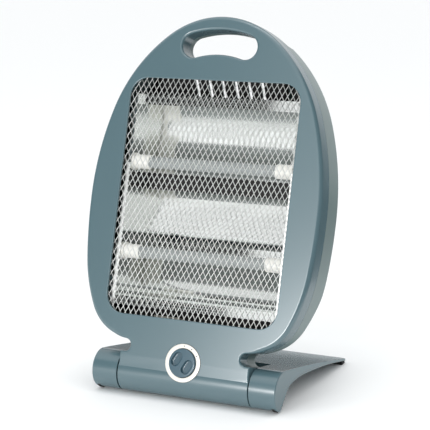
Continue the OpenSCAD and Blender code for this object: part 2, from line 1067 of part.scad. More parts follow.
// Side view of the foot in (y, z) from the hinge axis. Angles are slopes.
tip_low = 1.5;
tip_t = 2.6;
tip_z = tip_low - hinge_z;
top_from = -9.3;
top_start = barrel_r * [sin(-top_from), cos(top_from)];
top_to = end_slope(top_start, tip_z + tip_t, top_from);
top_r = (foot_reach - top_start.x) / (sin(-top_to) - sin(-top_from));
toe_turn = 12.7;
toe = -barrel_r * [sin(toe_turn), cos(toe_turn)];
toe_slope = 43;
toe_len = 22.5;
heel_r = 20;
arch_r = 170;
heel_to = 6.5;
arch_to = -5;

// Slope at the tip of an arc that leaves p with one slope and meets the tip at height z
function end_slope(p, z, from) = 2 * atan((z - p.y) / (foot_reach - p.x)) - from;

// Points of a path that starts at p with one slope and bends to another
function bend(p, r, from, to, n) = [
  for (i = [1:n])
    let (a = from + (to - from) * i / n)
      p + r * [sin(from) - sin(a), cos(a) - cos(from)]
];

toe_top = toe + toe_len * [cos(toe_slope), sin(toe_slope)];
heel = bend(toe_top, heel_r, toe_slope, heel_to, 8);
arch = bend(last(heel), arch_r, heel_to, arch_to, 4);
under_to = end_slope(last(arch), tip_z, arch_to);
under_r = (foot_reach - last(arch).x) / (sin(-under_to) - sin(-arch_to));
under = bend(last(arch), under_r, arch_to, under_to, 6);
top_line = bend(top_start, top_r, top_from, top_to, 8);

// Height of the top line, and how far its skin's inner face lies below it
function top_z(y) = lookup(y, concat([top_start], top_line));
skin_drop = foot_wall / cos(top_from);

// Height of the underside near the tip
function under_z(y) =
  let (
    c = last(arch) + under_r * [sin(arch_to), -cos(arch_to)]
  )
  c.y + sqrt(under_r * under_r - (y - c.x) * (y - c.x));

// Front of the end barrel, from the top line's start round to the toe
barrel_steps = 32;

function barrel_front(r) = [
  for (i = [0:barrel_steps])
    let (a = 90 + top_from + (180 - top_from - toe_turn) * i / barrel_steps)
      r * [cos(a), sin(a)]
];

module foot_side()
  polygon(concat(
    barrel_front(barrel_r), [toe_top], heel, arch, under, reversed(top_line)
  ));

// Hollow under the top skin, open below
solid_tip = 52;
pocket_end = foot_reach - solid_tip;
low_z = -2 * barrel_r;

module foot_hollow()
  polygon(concat(
    barrel_front(barrel_r - foot_wall),
    [[toe.x + foot_wall, low_z], [pocket_end, low_z], [pocket_end, top_z(pocket_end) - skin_drop]],
    [for (p = reversed(top_line)) if (p.x < pocket_end - 1) p - [0, skin_drop]]
  ));

plate_front = 39;
plate_corner = 10;
rib_count = 3;
rib_at = [for (i = [0:rib_count]) (end_inner + foot_wall / 2) * i / rib_count];
cross_rib = (plate_front + pocket_end) / 2 - 4;
pin_boss_r = pin_r + 3;

module foot_plan()
  difference() {
    union() {
      translate([-foot_half_w, -barrel_r - 1])
        square([2 * foot_half_w, foot_reach + barrel_r + 1 - plate_corner]);
      translate([-foot_half_w + plate_corner, 0])
        square([2 * (foot_half_w - plate_corner), foot_reach + 1]);
      for (side = [-1, 1])
        translate([side * (foot_half_w - plate_corner), foot_reach - plate_corner])
          circle(plate_corner);
    }
    translate([-end_inner, -barrel_r - 2])
      square([2 * end_inner, plate_front + barrel_r + 2]);
  }

// Pockets between the ribs
module foot_pockets() {
  bays = concat(
    [for (i = [0:len(rib_at) - 2]) [rib_at[i] + foot_wall / 2, rib_at[i + 1] - foot_wall / 2]],
    [[end_inner + foot_wall, foot_half_w - foot_wall]]
  );
  both_sides()
    for (bay = bays)
      across(bay[0], bay[1])
        difference() {
          foot_hollow();
          if (bay[1] < end_inner)
            translate([low_z, low_z])
              square([plate_front + foot_wall - low_z, -2 * low_z]);
          translate([cross_rib - foot_wall / 2, low_z])
            square([foot_wall, -2 * low_z]);
        }
}

front_pad_w = 3;
front_pad_u = foot_half_w - foot_wall - 3.6;
front_pad = [-12, toe.x - 0.3];
rear_pad_w = 12;
rear_pad_u = foot_half_w - 14;
rear_pad = [foot_reach - 14, foot_reach - 5];
pad_in = 1;

// Front pads wrap the underside of the barrels, rear pads lie under the tip
module pads()
  both_sides() {
    across(front_pad_u, front_pad_u + front_pad_w)
      difference() {
        translate([front_pad[0], -hinge_z])
          square([front_pad[1] - front_pad[0], hinge_z]);
        circle(barrel_r - pad_in, $fn = 96);
      }
    across(rear_pad_u, rear_pad_u + rear_pad_w)
      polygon([
        [rear_pad[0], -hinge_z],
        [rear_pad[1], -hinge_z],
        [rear_pad[1], under_z(rear_pad[1]) + pad_in],
        [rear_pad[0], under_z(rear_pad[0]) + pad_in]
      ]);
  }

// Seam on the crest of each end barrel, where its front cover meets the plate
seam_turn = 8;
seam_w = 0.7;
seam_deep = 0.6;

module cover_seam()
  both_sides()
    across(end_inner - 1, foot_half_w - foot_wall)
      rotate(90 + seam_turn)
        translate([barrel_r - seam_deep, -seam_w / 2])
          square([seam_deep + 1, seam_w]);

module foot()
  color("#7f8c90")
    on_foot()
      difference() {
        intersection() {
          across(-foot_half_w, foot_half_w)
            foot_side();
          translate([0, 0, low_z])
            linear_extrude(-2 * low_z)
              foot_plan();
        }
        cover_seam();
        difference() {
          foot_pockets();
          both_sides()
            axle(pin_boss_r, end_inner, pin_head_u);
        }
        both_sides()
          axle(pin_r, end_inner - 1, pin_head_u + 1);
        pads();
      }

module rubber_feet()
  color("#1c1c1e")
    on_foot()
      pads();

// ---- Parts inside ---------------------------------------------------------

// The terminal block sits on the sloping lower part of the back wall
block_lift = 17;
block_w = wall - barrel_r - back_slope * block_lift + seat;

module terminal_block()
  color("ivory")
    on_casing()
      translate([gland_at.x + 14, case_bottom + block_lift, block_w])
        rotate([-atan(back_slope), 0, 0])
          difference() {
            cube([30, 8, 7]);
            for (i = [0:2])
              translate([5 + 10 * i, 4, 2])
                cylinder(r = 2, h = 6);
          }

module thermal_cutout()
  color("#2c2c2e")
    on_casing()
      translate([30, case_bottom + 12, wall - barrel_r])
        cylinder(r = 8, h = 6);

module tip_over_switch()
  color("#2c2c2e")
    on_casing()
      translate([-52, 6, wall - barrel_r])
        cube([20, 12, 14]);

module cord_gland()
  color("#2c2c2e")
    on_casing()
      translate([gland_at.x, gland_at.y, -back_w])
        difference() {
          union() {
            translate([0, 0, -3])
              cylinder(r = gland_r + 2, h = 3);
            cylinder(r = gland_r - seat, h = wall);
            translate([0, 0, wall])
              cylinder(r = gland_r + 1.5, h = 2.5);
          }
          translate([0, 0, -4])
            cylinder(r = 3.3, h = wall + 8);
        }

foot();
rubber_feet();
hinge_pins();
disc_springs();
lock_nuts();
front_shell();
rear_shell();
grille();
grille_screws();
reflector();
left_cheek();
right_cheek();
cheek_screws();
upper_tube();
lower_tube();
upper_coil();
lower_coil();
ceramic_ends();
tube_terminals();
tube_clips();
hinge_bushes();
dial_ring();
selector_switch();
switch_nut();
terminal_block();
thermal_cutout();
tip_over_switch();
cord_gland();
case_screws();
switch_shaft();
knob();
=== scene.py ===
"""Looks of a two-tube quartz heater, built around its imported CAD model.

Sizes are in millimetres. Casing pieces are drawn in the casing's own frame: u across, v up
the face from the hinge axis, w out of the front. Foot pieces are drawn from the hinge axis.
"""

import json
import math

import bmesh
import bpy
from mathutils import Matrix, Vector


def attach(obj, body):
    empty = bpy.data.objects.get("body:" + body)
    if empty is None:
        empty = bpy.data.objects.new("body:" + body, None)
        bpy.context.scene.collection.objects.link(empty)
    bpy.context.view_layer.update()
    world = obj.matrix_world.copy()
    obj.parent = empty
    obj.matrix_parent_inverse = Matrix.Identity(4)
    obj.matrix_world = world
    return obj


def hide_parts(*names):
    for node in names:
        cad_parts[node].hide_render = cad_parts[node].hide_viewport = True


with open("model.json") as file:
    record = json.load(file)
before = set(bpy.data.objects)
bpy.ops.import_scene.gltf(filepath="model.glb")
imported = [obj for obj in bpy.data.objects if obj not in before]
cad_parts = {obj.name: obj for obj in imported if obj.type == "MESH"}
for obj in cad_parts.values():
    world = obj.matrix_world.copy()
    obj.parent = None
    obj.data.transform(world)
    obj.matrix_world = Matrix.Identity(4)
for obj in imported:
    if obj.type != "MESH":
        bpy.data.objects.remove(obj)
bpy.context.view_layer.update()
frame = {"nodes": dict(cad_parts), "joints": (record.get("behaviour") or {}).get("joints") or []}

MM = 0.001


def rad(degrees):
    """Radians, for the angles that are written in degrees."""
    return math.radians(degrees)


# ---- Where the casing and the foot stand ------------------------------------

JOINTS = {joint["name"]: joint for joint in frame["joints"]}
HINGE = Vector(JOINTS["casing_tilt"]["pos_m"])
DIAL_AXIS = Vector(JOINTS["knob_turn"]["axis"]).normalized()

FRONT = -DIAL_AXIS if DIAL_AXIS.y > 0 else DIAL_AXIS
UP = Vector((0, FRONT.z, -FRONT.y))
FOOT_PLACE = Matrix.Translation(HINGE) @ Matrix.Scale(MM, 4)
CASING_PLACE = FOOT_PLACE @ Matrix((
    (1, UP.x, FRONT.x, 0),
    (0, UP.y, FRONT.y, 0),
    (0, UP.z, FRONT.z, 0),
    (0, 0, 0, 1),
))

# ---- Sizes of the casing ----------------------------------------------------

CASE_HALF = 129
FRONT_W = 20.2
BACK_W = 33
PART_W = 1  # w of the parting line between the two mouldings
WALL = 2.2
FRONT_EDGE = 4.2  # rolls of the front's and the back's outer edges
BACK_EDGE = 6.2
DRAFT = 0.5
SEAM = 0.3
BARREL_R = 20.2
BARREL_HALF = 72.6

# The neck: a block on the barrel, drawn in above it and set off from the egg by round notches
NOTCH_R = 6.5
NOTCH_STEPS = 18
NECK_HALF = 67.7
NECK_ROLL = 1.8
BLOCK_HALF = 72.2
SINK_V = 16.8  # below this height the face sinks, by SINK at the hinge axis
SINK = 0.9
SINK_STEPS = 6

# The egg: arcs of a radius and a turn, from the widest place down and then from it up
HIP_R, HIP_TURN = 520, 6.5
FLANK_R, FLANK_TURN = 168, 18.5
CORNER_R = 50
SHOULDER_R, SHOULDER_TURN = 310, 18
CREST_R, CREST_TURN = 165, 34
SIDE_H = 2
LOW_TURN = HIP_TURN + FLANK_TURN
HIGH_TURN = SHOULDER_TURN + CREST_TURN
FRONT_INNER = FRONT_W - WALL

CASE_BOTTOM = BARREL_R + 2 * NOTCH_R
SIDE_LOW = (
    CASE_BOTTOM
    + HIP_R * math.sin(rad(HIP_TURN))
    + FLANK_R * (math.sin(rad(LOW_TURN)) - math.sin(rad(HIP_TURN)))
    + CORNER_R * (1 - math.sin(rad(LOW_TURN)))
)
SIDE_HIGH = SIDE_LOW + SIDE_H
CROWN_R = (
    CASE_HALF
    - SHOULDER_R * (1 - math.cos(rad(SHOULDER_TURN)))
    - CREST_R * (math.cos(rad(SHOULDER_TURN)) - math.cos(rad(HIGH_TURN)))
) / math.cos(rad(HIGH_TURN))
CASE_TOP = (
    SIDE_HIGH
    + SHOULDER_R * math.sin(rad(SHOULDER_TURN))
    + CREST_R * (math.sin(rad(HIGH_TURN)) - math.sin(rad(SHOULDER_TURN)))
    + CROWN_R * (1 - math.sin(rad(HIGH_TURN)))
)

# Window in the front, hand recess and slope in the back
WIN_HALF = CASE_HALF - 34
WIN_LOW = CASE_BOTTOM + 25
WIN_HIGH = CASE_TOP - 66.9
WIN_MID = (WIN_LOW + WIN_HIGH) / 2
WIN_R = 20
WIN_LIP = 0.8
SCOOP_HALF = 62
SCOOP_W = FRONT_W - 28.7
SCOOP_LOW = WIN_HIGH - 17
SCOOP_FLAT = SCOOP_LOW + 32
BACK_LOW = CASE_BOTTOM + 62
BACK_SLOPE = (BACK_W - BARREL_R) / (BACK_LOW - CASE_BOTTOM)

# ---- Making solids ----------------------------------------------------------


def piece_from(name, vertices, faces):
    """A closed solid as an object, with its faces turned outwards."""
    mesh = bpy.data.meshes.new(name)
    mesh.from_pydata([tuple(p) for p in vertices], [], faces)
    shape = bmesh.new()
    shape.from_mesh(mesh)
    bmesh.ops.remove_doubles(shape, verts=shape.verts, dist=1e-5)
    bmesh.ops.recalc_face_normals(shape, faces=shape.faces)
    shape.to_mesh(mesh)
    shape.free()
    piece = bpy.data.objects.new(name, mesh)
    bpy.context.scene.collection.objects.link(piece)
    return piece


def cap_faces(first, count, splits):
    """Faces that close a mirrored ring, split between matching points of its two halves."""
    last = count - 1
    cuts = [0, *splits, count // 2]
    faces = []
    for low, high in zip(cuts, cuts[1:]):
        right = list(range(low, high + 1))
        left = [last - i for i in reversed(right) if last - i != i]
        faces.append([first + i for i in right + left])
    return faces


def loft(name, rings, splits=()):
    """A closed solid through rings that have as many points; the last ring's cap may be split."""
    count = len(rings[0])
    vertices = [p for ring in rings for p in ring]
    faces = [list(range(count))]
    for k in range(len(rings) - 1):
        for i in range(count):
            j = (i + 1) % count
            a, b = k * count, (k + 1) * count
            faces.append([a + i, a + j, b + j, b + i])
    top = (len(rings) - 1) * count
    faces += cap_faces(top, count, splits) if splits else [list(range(top, top + count))]
    return piece_from(name, vertices, faces)


def prism(name, outline, low, high):
    """A solid with one (u, v) or (x, y) outline from one level to another."""
    return loft(name, [[(x, y, w) for x, y in outline] for w in (low, high)])


def across(name, outline, start, end):
    """A solid with one (v, w) or (y, z) outline along the width."""
    return loft(name, [[(u, a, b) for a, b in outline] for u in (start, end)])


def turned(name, profile, steps=96, closed=True):
    """A turned solid about the w axis from (radius, height) points."""
    vertices = []
    rows = []
    for radius, height in profile:
        if radius < 1e-6:
            rows.append([len(vertices)] * steps)
            vertices.append((0, 0, height))
            continue
        rows.append(list(range(len(vertices), len(vertices) + steps)))
        for i in range(steps):
            a = 2 * math.pi * i / steps
            vertices.append((radius * math.cos(a), radius * math.sin(a), height))
    faces = []
    pairs = list(zip(rows, rows[1:])) + ([(rows[-1], rows[0])] if closed else [])
    for low, high in pairs:
        for i in range(steps):
            j = (i + 1) % steps
            face = list(dict.fromkeys([low[i], low[j], high[j], high[i]]))
            if len(face) > 2:
                faces.append(face)
    return piece_from(name, vertices, faces)


def plug(name, radius, low, high, steps):
    """A plain round bar about the w axis."""
    profile = [(0, low), (radius, low), (radius, high), (0, high)]
    return turned(name, profile, steps, closed=False)


def moved(piece, matrix):
    piece.data.transform(matrix)
    return piece


def shifted(piece, u, v, w=0):
    return moved(piece, Matrix.Translation((u, v, w)))


def combine(body, others, operation):
    """Cuts the others from the body, adds them to it or keeps what they share."""
    for other in others:
        step = body.modifiers.new(operation, "BOOLEAN")
        step.operation = operation
        step.solver = "EXACT"
        step.object = other
    view = bpy.context.evaluated_depsgraph_get()
    mesh = bpy.data.meshes.new_from_object(body.evaluated_get(view))
    body.modifiers.clear()
    body.data = mesh
    for other in others:
        bpy.data.objects.remove(other)
    return body


def cut(body, *others):
    return combine(body, others, "DIFFERENCE")


def join(body, *others):
    """Puts closed solids into one piece as they are."""
    shape = bmesh.new()
    for part in (body, *others):
        shape.from_mesh(part.data)
    shape.to_mesh(body.data)
    shape.free()
    for other in others:
        bpy.data.objects.remove(other)
    return body


def mirrored(piece):
    """A copy of a solid on the other side, facing outwards again."""
    mesh = piece.data.copy()
    mesh.transform(Matrix.Scale(-1, 4, (1, 0, 0)))
    mesh.flip_normals()
    twin = bpy.data.objects.new(piece.name + "_twin", mesh)
    bpy.context.scene.collection.objects.link(twin)
    return twin


def settle(piece, body, finish, nodes=(), place=CASING_PLACE, sharp=34):
    """Sets a drawn piece in its place, smooth between its sharp edges."""
    mesh = piece.data
    mesh.transform(place)
    mesh.polygons.foreach_set("use_smooth", [True] * len(mesh.polygons))
    mesh.set_sharp_from_angle(angle=rad(sharp))
    mesh.materials.clear()
    mesh.materials.append(finish)
    normals = piece.modifiers.new("normals", "WEIGHTED_NORMAL")
    normals.keep_sharp = True
    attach(piece, body)
    if nodes:
        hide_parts(*nodes)
    return piece


# ---- Outlines ---------------------------------------------------------------


def arc(u, v, radius, begin, turn, steps):
    """Points of an arc about (u, v), from the angle begin on."""
    angles = [rad(begin + turn * i / steps) for i in range(steps + 1)]
    return [(u + radius * math.cos(a), v + radius * math.sin(a)) for a in angles]


def flipped(points):
    """The points on the other side, last one first, so that they carry an outline on."""
    return [(-u, *rest) for u, *rest in reversed(points)]


def quarter(radius, turn):
    """How far in a rolled edge is, and how far short of the face, from 0 to 90 degrees."""
    return radius * (1 - math.cos(rad(turn))), radius * (1 - math.sin(rad(turn)))


def rolled(radius, steps=6):
    """The whole rolled edge, from the side to the face."""
    return [quarter(radius, 90 * i / steps) for i in range(steps + 1)]


def bow(start, begin, radius, turn, up, steps):
    """Points of an arc that leaves start at begin degrees from the vertical, with their normals."""
    made = []
    for i in range(1, steps + 1):
        a = rad(begin + turn * i / steps)
        u = start[0] - radius * (math.cos(rad(begin)) - math.cos(a))
        v = start[1] + up * radius * (math.sin(a) - math.sin(rad(begin)))
        made.append(((u, v), (math.cos(a), up * math.sin(a))))
    return made


def egg_side():
    """Right half of the egg outline from its bottom to its top, with outward normals."""
    low = (CASE_HALF, SIDE_LOW)
    high = (CASE_HALF, SIDE_HIGH)
    hip = bow(low, 0, HIP_R, HIP_TURN, -1, 6)
    flank = bow(hip[-1][0], HIP_TURN, FLANK_R, FLANK_TURN, -1, 10)
    corner = bow(flank[-1][0], LOW_TURN, CORNER_R, 90 - LOW_TURN, -1, 26)
    shoulder = bow(high, 0, SHOULDER_R, SHOULDER_TURN, 1, 12)
    crest = bow(shoulder[-1][0], SHOULDER_TURN, CREST_R, CREST_TURN, 1, 16)
    crown = bow(crest[-1][0], HIGH_TURN, CROWN_R, 90 - HIGH_TURN, 1, 18)
    down = [(low, (1, 0))] + hip + flank + corner
    return down[::-1] + [(high, (1, 0))] + shoulder + crest + crown


def smooth_step(x):
    """Goes softly from 0 to 1."""
    x = min(max(x, 0), 1)
    return x * x * (3 - 2 * x)


ROLL_RUN = 16  # stretch over which the neck's narrow roll widens into the egg's
NECK_POINTS = SINK_STEPS + NOTCH_STEPS + 3


def casing_side():
    """Right half of the whole casing outline with the notch and the neck.

    Each point has its outward normal and its share of the egg's wide edge roll.
    """
    side = [((BLOCK_HALF, SINK_V * i / SINK_STEPS), (1, 0), 0) for i in range(SINK_STEPS + 1)]
    side += [((BLOCK_HALF, BARREL_R), (1, 1), 0), ((NECK_HALF, BARREL_R), (0, 1), 0)]
    for i in range(1, NOTCH_STEPS + 1):
        a = rad(-90 - 180 * i / NOTCH_STEPS)
        c, s = math.cos(a), math.sin(a)
        side.append(((NECK_HALF + NOTCH_R * c, BARREL_R + NOTCH_R * (1 + s)), (-c, -s), 0))
    for point, normal in egg_side():
        run = math.hypot(point[0] - NECK_HALF, point[1] - CASE_BOTTOM)
        if point[1] > CASE_BOTTOM + CORNER_R or point[0] > NECK_HALF + 0.7:
            side.append((point, normal, smooth_step(run / ROLL_RUN)))
    return side


CASING_SIDE = casing_side()


def neck_roll(v):
    """Roll of the neck's edge, which fades where the face meets the barrel."""
    if v >= BARREL_R:
        return NECK_ROLL
    return min(NECK_ROLL, 0.8 * (BARREL_R - math.sqrt(BARREL_R**2 - v * v)))


def casing_ring(egg_roll, turn, drawn_in, level):
    """One ring of the casing: turn runs from 0 at the side wall to 90 on the face."""
    right = []
    for (u, v), (nu, nv), share in CASING_SIDE:
        roll = neck_roll(v) + (egg_roll - neck_roll(v)) * share
        inward, short = quarter(roll, turn)
        inset = drawn_in * share + inward
        place = (u - nu * inset, v - nv * inset)
        right.append((*place, level(place[1], short)))
    return right + flipped(right[:-1])


def seam_ring(w, inset):
    """The casing's outline at one level, drawn in where the mouldings' lips meet."""
    right = [(u - nu * inset, v - nv * inset, w) for (u, v), (nu, nv), _ in CASING_SIDE]
    return right + flipped(right[:-1])


def egg_ring(inset, level):
    """One ring of the room inside the egg."""
    right = [(u - nu * inset, v - nv * inset) for (u, v), (nu, nv) in egg_side()]
    return [(u, v, level(v)) for u, v in right + flipped(right[:-1])]


def back_face(v):
    """w of the casing's back: flat, with a slope down to the barrel."""
    return max(-BACK_W, min(-BARREL_R, -BARREL_R - BACK_SLOPE * (v - CASE_BOTTOM)))


HOLE_HALF = 41.7
HOLE_END_R = 12.8
HOLE_TOP_R = 112
HOLE_TOP = CASE_TOP - 14.4
HOLE_FOCUS = HOLE_TOP - HOLE_TOP_R
HOLE_TURN = math.degrees(math.asin((HOLE_HALF - HOLE_END_R) / (HOLE_TOP_R - HOLE_END_R)))
HOLE_DIP_R = HOLE_TOP_R - 2 * HOLE_END_R
HOLE_LIP = 2.4


def hole_outline(grow):
    """The bean of the handle hole, from its top middle round its right end and back."""
    end_r = HOLE_TOP_R - HOLE_END_R
    end = (HOLE_HALF - HOLE_END_R, HOLE_FOCUS + end_r * math.cos(rad(HOLE_TURN)))
    right = 90 - HOLE_TURN
    half = arc(0, HOLE_FOCUS, HOLE_TOP_R + grow, 90, -HOLE_TURN, 10)
    half += arc(*end, HOLE_END_R + grow, right, -180, 28)[1:-1]
    half += arc(0, HOLE_FOCUS, HOLE_DIP_R - grow, right, HOLE_TURN, 8)
    return half + flipped(half[1:-1])


def slab_outline(half, low, high, r, steps=12):
    """A rectangle with rounded corners."""
    corners = ((half - r, low + r, -90), (half - r, high - r, 0),
               (r - half, high - r, 90), (r - half, low + r, 180))
    return [p for u, v, begin in corners for p in arc(u, v, r, begin, 90, steps)]


def slot_outline(u, width, low, high, steps=10):
    """An upright slot with round ends."""
    return arc(u, low, width / 2, 180, 180, steps) + arc(u, high, width / 2, 0, 180, steps)


TURNS = range(0, 91, 15)  # of the casing's rolled edges


def flared_cut(name, outline, low, face, lip, top):
    """A cutter whose walls roll outwards by lip where they reach the face."""
    rings = [[(u, v, low) for u, v in outline(0)]]
    for grow, short in rolled(lip):
        w = face - math.copysign(short, face - low)
        rings.append([(u, v, w) for u, v in outline(grow)])
    rings.append([(u, v, top) for u, v in outline(lip)])
    return loft(name, rings)


# ---- Finishes ---------------------------------------------------------------


def colour(code):
    """Linear colour from an sRGB hex code."""
    parts = [int(code[i:i + 2], 16) / 255 for i in (0, 2, 4)]
    linear = [c / 12.92 if c <= 0.04045 else ((c + 0.055) / 1.055) ** 2.4 for c in parts]
    return (*linear, 1)


def add(tree, kind, inputs=None, **settings):
    """Adds a node with its settings; inputs are values or the outputs that feed them."""
    made = tree.nodes.new(kind)
    for name, value in settings.items():
        setattr(made, name, value)
    for socket, value in (inputs or {}).items():
        if isinstance(value, bpy.types.NodeSocket):
            tree.links.new(value, made.inputs[socket])
        else:
            made.inputs[socket].default_value = value
    return made


def new_finish(name):
    """An empty material, its tree and a place in metres on the piece."""
    finish = bpy.data.materials.new(name)
    finish.use_nodes = True
    tree = finish.node_tree
    tree.nodes.clear()
    place = add(tree, "ShaderNodeTexCoord").outputs["Object"]
    return finish, tree, place


def close_finish(tree, shader):
    """Ends a finish's tree with its shader."""
    add(tree, "ShaderNodeOutputMaterial", {"Surface": shader.outputs[0]})


def shades(code, down, up):
    """A darker and a lighter shade of one colour."""
    return [[c * k for c in colour(code)[:3]] + [1] for k in (down, up)]


CLOUD_MM = 90  # length of the flow marks in a moulding
GRAIN_GLOSS = 0.02


def moulded(name, code, grain_mm, grain_depth, roughness, **sockets):
    """Moulded plastic, rubber or pressed ceramic: one colour through, a fine grain from the
    mould that breaks up the gloss, and a faint cloudiness where the material flowed.

    A spark-eroded mould leaves a grain of 0.05 to 0.1 mm. That is too fine to show, so
    grain_mm is drawn about ten times as coarse.
    """
    finish, tree, place = new_finish(name)
    grain = add(tree, "ShaderNodeTexNoise", {
        "Vector": place, "Scale": 1 / (grain_mm * MM), "Detail": 2.0})
    cloud = add(tree, "ShaderNodeTexNoise", {"Vector": place, "Scale": 1 / (CLOUD_MM * MM)})
    low, high = shades(code, 0.97, 1.03)
    tint = add(tree, "ShaderNodeMix", {
        "Factor": cloud.outputs["Fac"], "A": low, "B": high}, data_type="RGBA")
    gloss = add(tree, "ShaderNodeMapRange", {
        "Value": grain.outputs["Fac"],
        "To Min": roughness - GRAIN_GLOSS, "To Max": roughness + GRAIN_GLOSS})
    bump = add(tree, "ShaderNodeBump", {
        "Height": grain.outputs["Fac"], "Strength": 0.2, "Distance": grain_depth * MM})
    shader = add(tree, "ShaderNodeBsdfPrincipled", {
        "Base Color": tint.outputs["Result"], "Roughness": gloss.outputs["Result"],
        "Normal": bump.outputs["Normal"], **sockets})
    close_finish(tree, shader)
    return finish


# ABS has an IOR of 1.54. The casing, the foot and the knob are set higher, because they mirror
# the studio more strongly in the photograph than plain ABS does.

# Casing: dark blue grey in the mass, but pale wherever its soft gloss meets the light
CASING_ABS = moulded("abs_blue_grey_satin", "4d656c", 0.9, 0.006, 0.24, IOR=1.8)
# Rear moulding: greyer and duller, so that its band at the side reads as a second part; its paler
# grey is also partly painted light, standing in for the backdrop's light on that band
REAR_ABS = moulded("abs_grey_satin", "667878", 0.9, 0.012, 0.34)
# Foot: the casing's colour and grain, with slightly weaker gloss
FOOT_ABS = moulded("abs_foot_satin", "4d656c", 0.9, 0.006, 0.24, IOR=1.75)
# Knob: nearly polished, so that the finger pockets show clear highlights
KNOB_ABS = moulded("abs_slate_polished", "3c5662", 1.4, 0.006, 0.2, IOR=1.6)
# Painted shade inside the back: dull black, which makes the space behind the mesh look deep
PAINTED_SHADE_INSIDE = moulded("painted_shade_black", "171515", 0.8, 0.02, 0.6)
# Polyamide: tougher and duller than ABS, black on switches and marks, cream where undyed
BLACK_PA = moulded("polyamide_black", "1d1d1f", 0.8, 0.03, 0.5)
NATURAL_PA = moulded("polyamide_natural", "e4e0d3", 0.8, 0.02, 0.45)
# Rubber pads: black with hardly any gloss
RUBBER = moulded("nitrile_rubber_black", "161617", 0.7, 0.04, 0.75)
# Unglazed steatite: a warm white with a faint, broken sheen
STEATITE = moulded("steatite_white", "efeee8", 0.6, 0.03, 0.4)

FLAKE_MM = 0.35


def silver_paint():
    """Silver lacquer on plastic: fine bright flakes under a soft clear coat.

    Real flakes are about 0.03 mm, so they are drawn coarser to show at all.
    """
    finish, tree, place = new_finish("silver_lacquer")
    flake = add(tree, "ShaderNodeTexVoronoi", {"Vector": place, "Scale": 1 / (FLAKE_MM * MM)})
    tone = add(tree, "ShaderNodeMix", {
        "Factor": flake.outputs["Distance"], "A": colour("dedcd5"), "B": colour("cbc9c2"),
    }, data_type="RGBA")
    shader = add(tree, "ShaderNodeBsdfPrincipled", {
        "Base Color": tone.outputs["Result"], "Metallic": 0.2, "Roughness": 0.32,
        "Coat Weight": 0.3, "Coat Roughness": 0.15})
    close_finish(tree, shader)
    return finish


LINE_MM, LINE_PITCH_MM = 60, 0.8
DENT_MM = 38  # width of the shallow unevenness in thin sheet
SHEET_DEPTH = 0.001


def rolled_metal(name, code, roughness):
    """Rolled sheet: fine lines along the width, which spread a reflection up and down.

    Real rolling lines lie about 0.05 mm apart and are drawn coarser so that they show.
    """
    finish, tree, place = new_finish(name)
    along, between = 1 / (LINE_MM * MM), 1 / (LINE_PITCH_MM * MM)
    stretched = add(tree, "ShaderNodeMapping", {
        "Vector": place, "Scale": (along, between, between)})
    lines = add(tree, "ShaderNodeTexNoise", {
        "Vector": stretched.outputs["Vector"], "Scale": 1.0, "Detail": 3.0})
    dents = add(tree, "ShaderNodeTexNoise", {"Vector": place, "Scale": 1 / (DENT_MM * MM)})
    height = add(tree, "ShaderNodeMath", {
        0: lines.outputs["Fac"], 1: dents.outputs["Fac"]}, operation="ADD")
    gloss = add(tree, "ShaderNodeMapRange", {
        "Value": lines.outputs["Fac"], "To Min": roughness - 0.02, "To Max": roughness + 0.03})
    bump = add(tree, "ShaderNodeBump", {
        "Height": height.outputs["Value"], "Strength": 0.4, "Distance": SHEET_DEPTH * MM})
    shader = add(tree, "ShaderNodeBsdfPrincipled", {
        "Base Color": colour(code), "Metallic": 1.0, "Roughness": gloss.outputs["Result"],
        "Normal": bump.outputs["Normal"]})
    close_finish(tree, shader)
    return finish


def plated_steel(name, code, roughness, spot_mm):
    """Plated or oxidised metal: a thin skin that blooms faintly in spots of their real size."""
    finish, tree, place = new_finish(name)
    bloom = add(tree, "ShaderNodeTexNoise", {
        "Vector": place, "Scale": 1 / (spot_mm * MM), "Detail": 3.0})
    gloss = add(tree, "ShaderNodeMapRange", {
        "Value": bloom.outputs["Fac"], "To Min": roughness - 0.06, "To Max": roughness + 0.08})
    low, high = shades(code, 0.94, 1.04)
    tone = add(tree, "ShaderNodeMix", {
        "Factor": bloom.outputs["Fac"], "A": low, "B": high}, data_type="RGBA")
    shader = add(tree, "ShaderNodeBsdfPrincipled", {
        "Base Color": tone.outputs["Result"], "Metallic": 1.0,
        "Roughness": gloss.outputs["Result"]})
    close_finish(tree, shader)
    return finish


# Reflector: nearly a mirror, which stretches tubes and studio into streaks along its width
REFLECTOR_METAL = rolled_metal("aluminium_bright_rolled", "eef0ee", 0.06)
# Cheeks: the same sheet, a little duller
CHEEK_METAL = rolled_metal("aluminium_bright_cheek", "e4e6e3", 0.12)
# Their folded edges: softly brushed, so that they stay white from wherever they are seen
EDGE_METAL = rolled_metal("aluminium_bright_edge", "f8f9f7", 0.4)
# Fasteners and terminals: cool grey with a soft gloss
ZINC = plated_steel("steel_zinc_plated", "c3c6c9", 0.34, 4)
# Grille: warmer and paler, dull enough for each strand to take the light along its length
NICKEL = plated_steel("steel_nickel_plated", "dfe1df", 0.4, 3)
# Heating wire that has glowed: a brown-grey oxide with little gloss
OXIDE_WIRE = plated_steel("resistance_wire_oxidised", "6f635a", 0.5, 2)

BUBBLE_MM, BUBBLE_PITCH_MM = 25, 1.2


